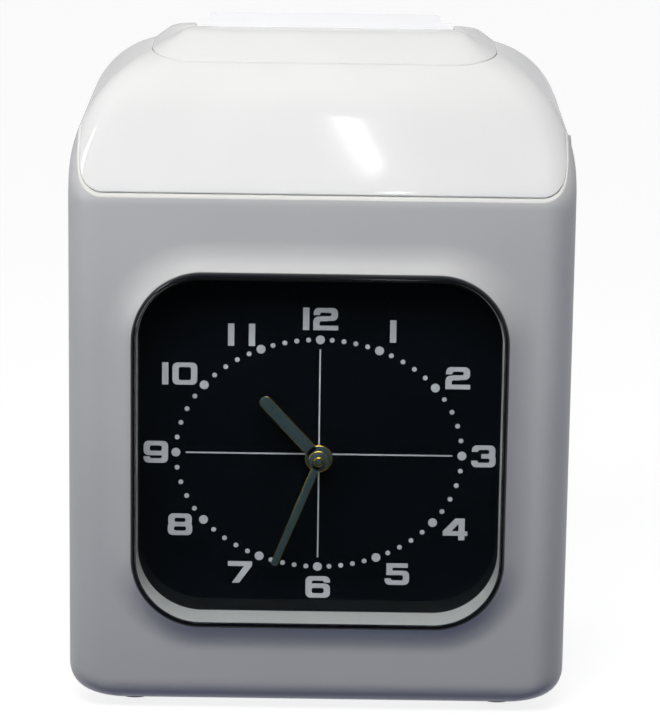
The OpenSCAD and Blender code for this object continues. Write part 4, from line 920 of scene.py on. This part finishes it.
def throat_top(s, plan, top, inset):
    """Height of the throat: the lowest of a crown over its depth, a roof with falling ends, and the cover.

    The crown is one arc ahead of the crest and a flatter one behind it. The roof is level, bends with a
    radius and runs on straight. At its outline the throat is flush with the cover, and inset is how far a
    point lies inside that outline. The lower of two is half of their sum less the root of their squared gap
    plus a small square, which rounds the place where they meet.
    """
    x, y = np.abs(plan[..., 0]), plan[..., 1]
    low, high = corner("card_throat", 0), corner("card_throat", 1)
    slope = s.throat_fall / (high[0] - s.throat_flat)
    reach = s.throat_bend * math.tan(math.atan(slope) / 2)
    start = s.throat_flat - reach
    end = s.throat_flat + reach * math.cos(math.atan(slope))
    fall = arc_in(np.minimum(x, end) - start, s.throat_bend) + slope * np.maximum(x - end, 0)
    crest = low[1] + s.crest
    drop = arc_in(crest - y, s.front_crown) + arc_in(y - crest, s.rear_crown)
    soft, proud, climb, blend = 1.2, 0.15, 0.33, 0.5
    free = top - 0.5 * (fall + drop + np.sqrt((fall - drop) ** 2 + soft**2)) + 0.5 * soft
    bound = housing_height(s, plan) + proud + climb * inset
    return 0.5 * (free + bound - np.sqrt((free - bound) ** 2 + blend**2))


class CLOCK_OT_lens(bpy.types.Operator):
    """Builds the clear lens as a closed shell with a bowed pane"""

    bl_idname = "clock.lens"
    bl_label = "Lens"

    def execute(self, context):
        s = sizes(context)
        low, high = corner("lens", 0), corner("lens", 1)
        outline, ways = lens_ring(s, across=60, up=60)
        face = low[1] + s.lens_bow
        turn = np.linspace(0, np.pi / 2, 8)
        edge = np.stack([-s.lens_edge * (1 - np.cos(turn)), face + s.lens_edge * (1 - np.sin(turn))], -1)
        inner = face + s.pane
        fillet, rim_rows = 0.8, 8
        knee = (-s.lens_wall, inner)
        inner_edge = bend_between((-s.lens_wall, inner + fillet), knee, (-s.lens_wall - fillet, inner), 5)
        middle = (low + high)[[0, 2]] / 2
        base = [(-s.lens_wall, high[1]), (0, high[1])]
        wall = round_lens(outline, ways, np.concatenate([inner_edge[::-1], base, edge]))
        fill = np.linspace(0, 1, 12, endpoint=False)[:, None]
        back = bowed(wall[0], middle, fill, inner, s.lens_bow)
        front = bowed(wall[-1], middle, fill[::-1], face, s.lens_bow)
        rows = np.concatenate([back, wall, front])
        first = len(back) + len(inner_edge) - 1
        # Faces of the lens's rim that take the black glossy finish.
        dark_rim = np.zeros((len(rows) - 1, rows.shape[1]), np.int32)
        dark_rim[first : first + rim_rows] = 1
        clear = slot_finish(context, "clear_acrylic")
        # A black glossy finish on the rim faces of the lens, which still takes sharp highlights.
        edge_finish = surface("smoked acrylic edge", linear("#0B0F16"), 0.1, 20, (0.08, 0.12), 6.0, 0.001)
        skins, used, faces = [skin(rows, wrap=True)], [clear, edge_finish], dark_rim.reshape(-1)
        pane = make_piece("clear_lens", skins, used, "case_body", ["lens"], True, faces)
        pane.data.set_sharp_from_angle(angle=math.radians(50))
        pane.visible_shadow = False
        return {"FINISHED"}


def bowed(rim, middle, share, y, bow):
    """Rings that shrink from the rim to the middle, proud by bow times one minus the share squared."""
    x = middle[0] + share * (rim[:, 0] - middle[0])
    z = middle[1] + share * (rim[:, 2] - middle[1])
    return np.stack([x, y - bow * (1 - share**2) + 0 * x, z], axis=-1)


# Numbers of the dial, on a squared form: upright strokes are wider than level ones

def bowl(box, pen, turns, start=None, end=None):
    """Both edges of a stroke that runs clockwise round corners of a rounded box.

    At each angle of a corner the outer edge lies on the outer radius and the inner edge on the inner one.
    Turns counts the corners from the upper left. Start and end are (axis, value) pairs that draw the stroke
    on along a side; without them the stroke closes.
    """
    left, right, low, high = box
    outer_r, inner_r = 1.9, 0.7
    quarter = np.linspace(0, np.pi / 2, 9)
    rows = []
    for turn in turns:
        way = np.pi - turn * np.pi / 2 - quarter
        side, rise = (1 if turn in (1, 2) else -1), (1 if turn in (0, 1) else -1)
        tip = np.array([right if side > 0 else left, high if rise > 0 else low])
        inward = np.array([-side, -rise])
        spoke = np.stack([np.cos(way), np.sin(way)], -1)
        outer = tip + inward * outer_r + outer_r * spoke
        inner = tip + inward * (np.array(pen) + inner_r) + inner_r * spoke
        rows.append(np.stack([outer, inner], axis=1))
    rows = np.concatenate(rows)
    if start is None:
        return np.concatenate([rows, rows[:1]])
    first, last = rows[:1].copy(), rows[-1:].copy()
    first[..., start[0]] = start[1]
    last[..., end[0]] = end[1]
    return np.concatenate([first, rows, last])


def bar(upper_right, upper_left, lower_left, lower_right):
    """A straight stroke from its four corners."""
    return np.array([[upper_right, upper_left], [lower_right, lower_left]], float)


def plain_bar(left, right, low, high):
    """A straight stroke that fills a box."""
    return bar((right, high), (left, high), (left, low), (right, low))


def numeral_strokes(s, digit):
    """Strokes of one digit about its middle: a is half its width, b half its height."""
    a, b = s.numeral_wide / 2, s.numeral_tall / 2
    wide, tall = pen = (s.upright, s.level)
    x, z = 0, 1
    whole, upper, lower = (-a, a, -b, b), (-0.96 * a, 0.96 * a, -0.2 * b, b), (-a, a, -b, 0.22 * b)
    belly = (-a, a, -b, 0.32 * b)
    six = [bowl(belly, pen, (0, 1, 2, 3)), bowl(whole, pen, (0, 1), (z, -0.3 * b), (z, 0.42 * b))]
    strokes = {
        "0": [bowl(whole, pen, (0, 1, 2, 3))],
        "1": [plain_bar(-wide / 2, wide / 2, -b, b)],
        "2": [
            bowl((-0.97 * a, 0.97 * a, -0.15 * b, b), pen, (0, 1, 2), (z, 0.34 * b), (x, -0.4 * a)),
            bowl(lower, pen, (0,), (z, -b), (x, 0.2 * a)),
            plain_bar(-0.9 * a, a, -b, tall - b),
        ],
        "3": [
            bowl(upper, pen, (0, 1, 2), (z, 0.4 * b), (x, -0.2 * a)),
            bowl(lower, pen, (1, 2, 3), (x, -0.2 * a), (z, -0.4 * b)),
        ],
        "4": [
            plain_bar(0.27 * a, 0.27 * a + wide, -b, b),
            plain_bar(-a, a, -0.18 * b - tall, -0.18 * b),
            bar((0.7 * a, b), (0.02 * a, b), (-a, -0.18 * b), (-0.3 * a, -0.18 * b)),
        ],
        "5": [
            plain_bar(-0.86 * a, 0.88 * a, b - tall, b),
            plain_bar(-0.86 * a, wide - 0.86 * a, -0.1 * b, b),
            bowl(belly, pen, (1, 2, 3), (x, -0.8 * a), (z, -0.42 * b)),
        ],
        "6": six,
        "7": [
            plain_bar(-0.98 * a, 0.98 * a, b - 1.1 * tall, b),
            bar((0.98 * a, b - tall), (0.35 * a, b - tall), (-0.65 * a, -b), (-0.06 * a, -b)),
        ],
        "8": [bowl(upper, pen, (0, 1, 2, 3)), bowl(lower, pen, (0, 1, 2, 3))],
        "9": [-stroke for stroke in six],
    }
    return strokes[digit]


# Middle of each number, across and up from the middle of the dial
NUMBER_PLACES = {
    "12": (0, 51), "1": (26.5, 46.7), "2": (50.5, 29.5), "3": (60.6, 0),
    "4": (50.7, -28.1), "5": (29.5, -45.7), "6": (0.2, -51.1), "7": (-28.7, -45.7),
    "8": (-51, -27.6), "9": (-60, 0), "10": (-51.3, 29.8), "11": (-28.8, 44.7),
}


class CLOCK_OT_dial_print(bpy.types.Operator):
    """Prints the numbers, the minute dots and the two fine lines on the dial"""

    bl_idname = "clock.dial_print"
    bl_label = "Dial print"

    def execute(self, context):
        s = sizes(context)
        middle = (corner("hand_nut", 0) + corner("hand_nut", 1))[[0, 2]] / 2
        y = corner("dial", 0)[1] - s.print_proud
        flat = []
        gap, ones_apart, film_share = 1.45, 3.8, 0.2
        pair = s.numeral_wide + s.upright + gap
        for text, place in NUMBER_PLACES.items():
            shifts = [0.0]
            if text == "11":
                shifts = [-ones_apart, ones_apart]
            elif len(text) == 2:
                shifts = [(s.upright - pair) / 2, (pair - s.numeral_wide) / 2]
            for digit, shift in zip(text, shifts):
                spot = np.array(place) + np.array([shift, 0])
                flat += [(stroke + spot, layer) for layer, stroke in enumerate(numeral_strokes(s, digit))]
        half = s.cross_line / 2
        flat.append((plain_bar(-s.cross_wide, s.cross_wide, -half, half), 0))
        flat.append((plain_bar(-half, half, -s.cross_tall, s.cross_tall), 1))
        film = s.print_proud * film_share
        skins = [skin(upright_print(stroke + middle, y - film * layer)) for stroke, layer in flat]
        skins += [skin(upright_print(dot + middle, y), wrap=True) for dot in minute_dots(s)]
        # Pad print ink: a flat pale film with a faint pinhole grain.
        colour = context.scene.clock_colours.ink
        ink = surface("pale pad print ink", colour, 0.06, 25, (0.38, 0.52), 0.5, 0.002)
        marks = make_piece("dial_print", skins, [ink], "case_body")
        marks.data.shade_flat()
        thicken(marks, s.print_proud * (1 - film_share))
        return {"FINISHED"}


def upright_print(flat, y):
    """Stands a flat drawing of (x, z) points up at depth y."""
    return np.stack([flat[..., 0], np.full(flat.shape[:-1], y), flat[..., 1]], axis=-1)


def minute_dots(s):
    """Sixty discs on an ellipse: radius is a b / sqrt((b sin)^2 + (a cos)^2).

    The angles are clock angles drawn a little towards the upright line.
    """
    minute, draw = np.arange(60), 0.952
    angle = np.arctan2(draw * np.sin(minute * np.pi / 30), np.cos(minute * np.pi / 30))
    a, b = s.dots_wide, s.dots_tall
    reach = a * b / np.hypot(b * np.sin(angle), a * np.cos(angle))
    centre = np.stack([reach * np.sin(angle), reach * np.cos(angle)], -1)
    radius = np.where(minute % 5 == 0, s.hour_dot, s.minute_dot) / 2
    turn = np.linspace(0, 2 * np.pi, 24, endpoint=False)
    disc = np.stack([np.cos(turn), np.sin(turn)], -1)
    ring = np.array([1.0, 0.0])[None, :, None, None] * disc
    return centre[:, None, None, :] + radius[:, None, None, None] * ring


class CLOCK_OT_hands(bpy.types.Operator):
    """Builds the hour hand and the minute hand, lacquered in front with bright edges"""

    bl_idname = "clock.hands"
    bl_label = "Hands"

    def execute(self, context):
        s = sizes(context)
        colours = context.scene.clock_colours
        # Lacquer on brass: dark blue green with a soft sheen.
        lacquer = surface("dark lacquer on brass", colours.hand, 0.05, 12, (0.26, 0.34), 0.8, 0.004)
        brass = slot_finish(context, "polished_brass")
        hour = dict(long=s.hour_long, wide=s.hour_wide, tip=1.0, taper=1.0)
        minute = dict(long=s.minute_long, wide=s.minute_wide, tip=0.86, taper=0.5)
        low, high = corner("hand_nut", 0), corner("hand_nut", 1)
        middle = (low + high) / 2 * np.array([1, 0, 1])
        bevel, roll, slot = 0.4, 0.8, "polished_brass"
        # Each hand with its body, its angle, the bore and the extra radius of its hub, and its form
        hands = [
            ("hour_hand", "hour_body", colours.hour_angle, 2.0, 0.3, hour),
            ("minute_hand", "minute_body", colours.minute_angle, 1.0, 0.9, minute),
        ]
        for name, body, angle, bore, extra, form in hands:
            front, back = corner(name, 0)[1], corner(name, 1)[1]
            blade, edge = hand_bar(front, back, angle=angle, **form)
            hub = form["wide"] + extra
            profile = [(bore, back), (hub, back), (hub, front + bevel), (hub - bevel, front), (bore, front)]
            points, part = skin(blade, wrap=True)
            skins = [(points + middle, part), turned(profile, middle, "y")]
            faces = np.concatenate([edge, np.array([1, 1, 1, 0]).repeat(ROUND)]).astype(np.int32)
            make_piece(f"{name}_dressed", skins, [lacquer, brass], body, [name], True, faces)
        radius = (high - low)[0] / 2
        turn = np.linspace(0, np.pi / 2, 5)
        edge = np.stack([radius - roll + roll * np.sin(turn), low[1] + roll - roll * np.cos(turn)], -1)
        skins = [turned([(0, low[1]), *edge, (radius, high[1]), (0, high[1])], middle, "y")]
        faces = np.array([0, 1, 1, 1, 1, 1, 1]).repeat(ROUND).astype(np.int32)
        nodes = ["hand_nut"]
        make_piece("hand_nut_dressed", skins, [lacquer, brass], "minute_body", nodes, True, faces)
        return {"FINISHED"}


def hand_bar(front, back, long, wide, tip, taper, angle):
    """A hand as sections along its length: flat in front, rolled at the edges, with a round tip.

    The half width is constant, tapers from a share of the length to the tip and ends in a half circle.
    Returns the points and, for each face, 0 for the lacquered front or 1 for the bright edge and back.
    """
    start, most_roll = 0.7, 0.25
    half, end = wide / 2, wide / 2 * tip
    bend = np.linspace(0, np.pi / 2, 9)[1:]
    along = np.concatenate([[wide * start, long * taper, long - end], long - end + end * np.sin(bend)])
    width = np.concatenate([[half, half if taper < 1 else end, end], end * np.cos(bend)])
    if taper == 1.0:
        along[1] = long * 0.5
    roll = min(most_roll, end / 2)
    across = np.array([-1, -0.97, -0.85, 0.85, 0.97, 1, 1, -1])
    deep = np.array([roll, 0.3 * roll, 0, 0, 0.3 * roll, roll, back - front, back - front])
    x = width[:, None] * across[None, :]
    y = front + deep[None, :] + 0 * x
    turn = np.array([[math.cos(angle), math.sin(angle)], [-math.sin(angle), math.cos(angle)]])
    flat = np.stack([x, along[:, None] + 0 * x], -1) @ turn.T
    edge = np.ones((len(along) - 1, len(across)), int)
    edge[:, 2] = 0
    return np.stack([flat[..., 0], y, flat[..., 1]], axis=-1), edge.reshape(-1)


class CLOCK_OT_lift_screw(bpy.types.Operator):
    """Builds the screw that lifts the card rest, with a four-start thread and plain ends"""

    bl_idname = "clock.lift_screw"
    bl_label = "Lifting screw"

    def execute(self, context):
        points = thread_skin(corner("lift_screw", 0), corner("lift_screw", 1), sizes(context).screw_lead)
        skins, body, slot = [skin(points, wrap=True)], "lift_screw_body", "bright_steel"
        finish = slot_finish(context, slot)
        make_piece("lift_screw_thread", skins, [finish], body, ["lift_screw"], True)
        return {"FINISHED"}


def thread_skin(low, high, lead):
    """A left-hand thread: at each height and angle the radius dips by a clipped cosine of their sum.

    A groove goes once round in a lead of height and four run side by side. The dip fades at the plain ends.
    """
    starts, deep, plain, level, swing = 4, 0.5, 9, 0.5, 0.9
    z = np.linspace(low[2], high[2], 361)[:, None]
    angle = np.linspace(0, 2 * np.pi, 40, endpoint=False)[None, :]
    groove = np.clip(level - swing * np.cos(starts * (2 * np.pi * z / lead + angle)), 0, 1)
    fade = np.clip(np.minimum(z - low[2], high[2] - z) - plain, 0, 1)
    radius = (high - low)[0] / 2 - deep * groove * fade
    ends = np.zeros((1, angle.size))
    radius = np.concatenate([ends, radius, ends])
    z = np.concatenate([z[:1], z, z[-1:]]) + 0 * angle
    middle = (low + high) / 2
    return np.stack([middle[0] + radius * np.cos(angle), middle[1] + radius * np.sin(angle), z], axis=-1)


class CLOCK_OT_stage(bpy.types.Operator):
    """Sets up the pale floor, the soft lights and the camera"""

    bl_idname = "clock.stage"
    bl_label = "Stage"

    def execute(self, context):
        scene = context.scene
        scene.view_settings.view_transform = "Standard"
        # Floor paper, lit from below as on a light table: near white, with the softest of shadows.
        glow = {"Emission Color": (1, 1, 1, 1), "Emission Strength": 0.8}
        colour = scene.clock_colours.floor
        paper = surface("matt floor paper", colour, 0.02, 60, (0.7, 0.8), 2.0, 0.01, more=glow)
        floor = show("floor", joined_mesh("floor", [skin(sweep_floor())], [paper], closed=False))
        floor.data.shade_smooth()
        floor.visible_diffuse = False
        floor.visible_glossy = False
        floor.visible_transmission = False
        window = soft_light("window", (-60, -450, 620), (0, -50, 130), wide=520, tall=300, watts=3.1)
        window.visible_glossy = False
        soft_light("left fill", (-620, -420, 330), (-80, -50, 130), wide=120, tall=420, watts=0.63)
        place, aim = (13.6, -721.5, 1661), (12.6, -48.3, 211.6)
        gleam = soft_light("gleam", place, aim, wide=34, tall=63, watts=0.122, roll=30.4)
        fade_across(gleam.data, power=3.0)
        edge = soft_light("edge gleam", (-780, -45, 913), (-86, -45, 215), wide=100, tall=300, watts=0.9)
        rims = soft_light("rim gleam", (40, -560, 720), (0, -60, 130), wide=14, tall=40, watts=0.04)
        edge.visible_diffuse = rims.visible_diffuse = False
        world_light(scene)
        place_camera(scene)
        return {"FINISHED"}


def sweep_floor():
    """A floor that turns up into a backdrop: straight, a quarter round of 1.5 m, then upright."""
    bend, back, top, near, half = 1500, 3500, 5000, -4000, 4500
    turn = np.linspace(0, np.pi / 2, 24)
    y = np.concatenate([[near, 0], back + bend * np.sin(turn), [back + bend]])
    z = np.concatenate([[0, 0], bend * (1 - np.cos(turn)), [top]])
    x = np.array([-half, half], float)
    return np.stack([x[None, :] + 0 * y[:, None], y[:, None] + 0 * x, z[:, None] + 0 * x], axis=-1)


def soft_light(name, place, aim, wide, tall, watts, roll=0.0):
    """An area light in millimetres that looks at a point, rolled about its own axis in degrees."""
    lamp = bpy.data.lights.new(name, "AREA")
    lamp.shape = "RECTANGLE"
    lamp.size = wide * MM
    lamp.size_y = tall * MM
    lamp.energy = watts
    light = bpy.data.objects.new(name, lamp)
    way = np.array(place, float) - np.array(aim, float)
    back = way / np.linalg.norm(way)
    right = np.cross((0, 0, 1), back)
    right = right / np.linalg.norm(right)
    axes = np.stack([right, np.cross(back, right), back], axis=1)
    turn = Matrix(axes.tolist()).to_4x4() @ Matrix.Rotation(math.radians(roll), 4, "Z")
    light.matrix_world = Matrix.Translation([v * MM for v in place]) @ turn
    bpy.context.scene.collection.objects.link(light)
    return light


def fade_across(lamp, power):
    """Lets a light fade from its right edge to its left one: its strength is its own U raised to a power."""
    lamp.use_nodes = True
    tree = lamp.node_tree
    tree.nodes.clear()
    place = add_node(tree, "ShaderNodeTexCoord").outputs["UV"]
    across = add_node(tree, "ShaderNodeSeparateXYZ", inputs={"Vector": place}).outputs["X"]
    share = add_node(tree, "ShaderNodeMath", {"operation": "POWER"}, {0: across, 1: power}).outputs[0]
    glow = add_node(tree, "ShaderNodeEmission", inputs={"Strength": share})
    add_node(tree, "ShaderNodeOutputLight", inputs={"Surface": glow.outputs[0]})


def world_light(scene):
    """A room that is white to the camera. To light and mirrors it has a bright backdrop behind the object.

    Over the front there is a dim sky above a dark ground, which throws a little cool light up.
    """
    world = bpy.data.worlds.new("studio")
    scene.world = world
    world.use_nodes = True
    tree = world.node_tree
    tree.nodes.clear()
    way = add_node(tree, "ShaderNodeTexCoord").outputs["Generated"]
    way = add_node(tree, "ShaderNodeSeparateXYZ", inputs={"Vector": way}).outputs
    inputs = {"Value": way["Z"], "From Min": -0.05, "From Max": 0.3}
    above = add_node(tree, "ShaderNodeMapRange", inputs=inputs).outputs["Result"]
    inputs = {"Value": way["Y"], "From Min": -0.3, "From Max": 0.4}
    behind = add_node(tree, "ShaderNodeMapRange", inputs=inputs).outputs["Result"]
    path = add_node(tree, "ShaderNodeLightPath").outputs
    seen = (*linear("#0C0D10"), 1)
    # Over the dark ground: its cool light, the front sky, the backdrop, and white for the camera
    shares = (path["Is Diffuse Ray"], above, behind, path["Is Camera Ray"])
    for share, code in zip(shares, ("#1A2C58", "#605E5C", "#D2D2D4", "#FFFFFF")):
        inputs = {0: share, 6: seen, 7: (*linear(code), 1)}
        seen = add_node(tree, "ShaderNodeMix", {"data_type": "RGBA"}, inputs).outputs[2]
    light = add_node(tree, "ShaderNodeBackground", inputs={"Color": seen})
    add_node(tree, "ShaderNodeOutputWorld", inputs={"Surface": light.outputs[0]})


def place_camera(scene):
    """A long lens, tipped 13.8 degrees down and rolled 0.8 degrees, 1.3 m in front."""
    down, roll, place = 13.8, 0.8, (3.6, -1311.9, 443.2)
    lens = bpy.data.cameras.new("camera")
    lens.sensor_fit = "VERTICAL"
    lens.sensor_height = 36
    lens.lens = 178.1
    lens.clip_start = 0.05
    lens.clip_end = 50
    camera = bpy.data.objects.new("camera", lens)
    turn = Matrix.Rotation(math.radians(90 - down), 4, "X") @ Matrix.Rotation(math.radians(roll), 4, "Z")
    camera.matrix_world = Matrix.Translation([v * MM for v in place]) @ turn
    scene.collection.objects.link(camera)
    scene.camera = camera


STEPS = (
    CLOCK_OT_finishes, CLOCK_OT_front_shell, CLOCK_OT_rear_shell, CLOCK_OT_mouldings,
    CLOCK_OT_cover, CLOCK_OT_throat, CLOCK_OT_lens, CLOCK_OT_dial_print,
    CLOCK_OT_hands, CLOCK_OT_lift_screw, CLOCK_OT_stage,
)


class CLOCK_PT_panel(bpy.types.Panel):
    """Lists the steps that dress the clock, and its sizes and colours"""

    bl_label = "Time clock"
    bl_idname = "CLOCK_PT_panel"
    bl_space_type = "VIEW_3D"
    bl_region_type = "UI"
    bl_category = "Clock"

    def draw(self, context):
        for step in STEPS:
            self.layout.operator(step.bl_idname)
        for group in (context.scene.clock_sizes, context.scene.clock_colours):
            column = self.layout.column(align=True)
            for name in group.__annotations__:
                column.prop(group, name)


CLASSES = (ClockSizes, ClockColours, *STEPS, CLOCK_PT_panel)


def register():
    """Registers the classes and the settings that they read."""
    for one in CLASSES:
        bpy.utils.register_class(one)
    bpy.types.Scene.clock_sizes = bpy.props.PointerProperty(type=ClockSizes)
    bpy.types.Scene.clock_colours = bpy.props.PointerProperty(type=ClockColours)


def unregister():
    """Takes the settings and classes away again."""
    del bpy.types.Scene.clock_colours
    del bpy.types.Scene.clock_sizes
    for one in reversed(CLASSES):
        bpy.utils.unregister_class(one)


def main():
    """Dresses the frame step by step."""
    register()
    for step in STEPS:
        group, name = step.bl_idname.split(".")
        getattr(getattr(bpy.ops, group), name)()


if __name__ == "__main__":
    main()
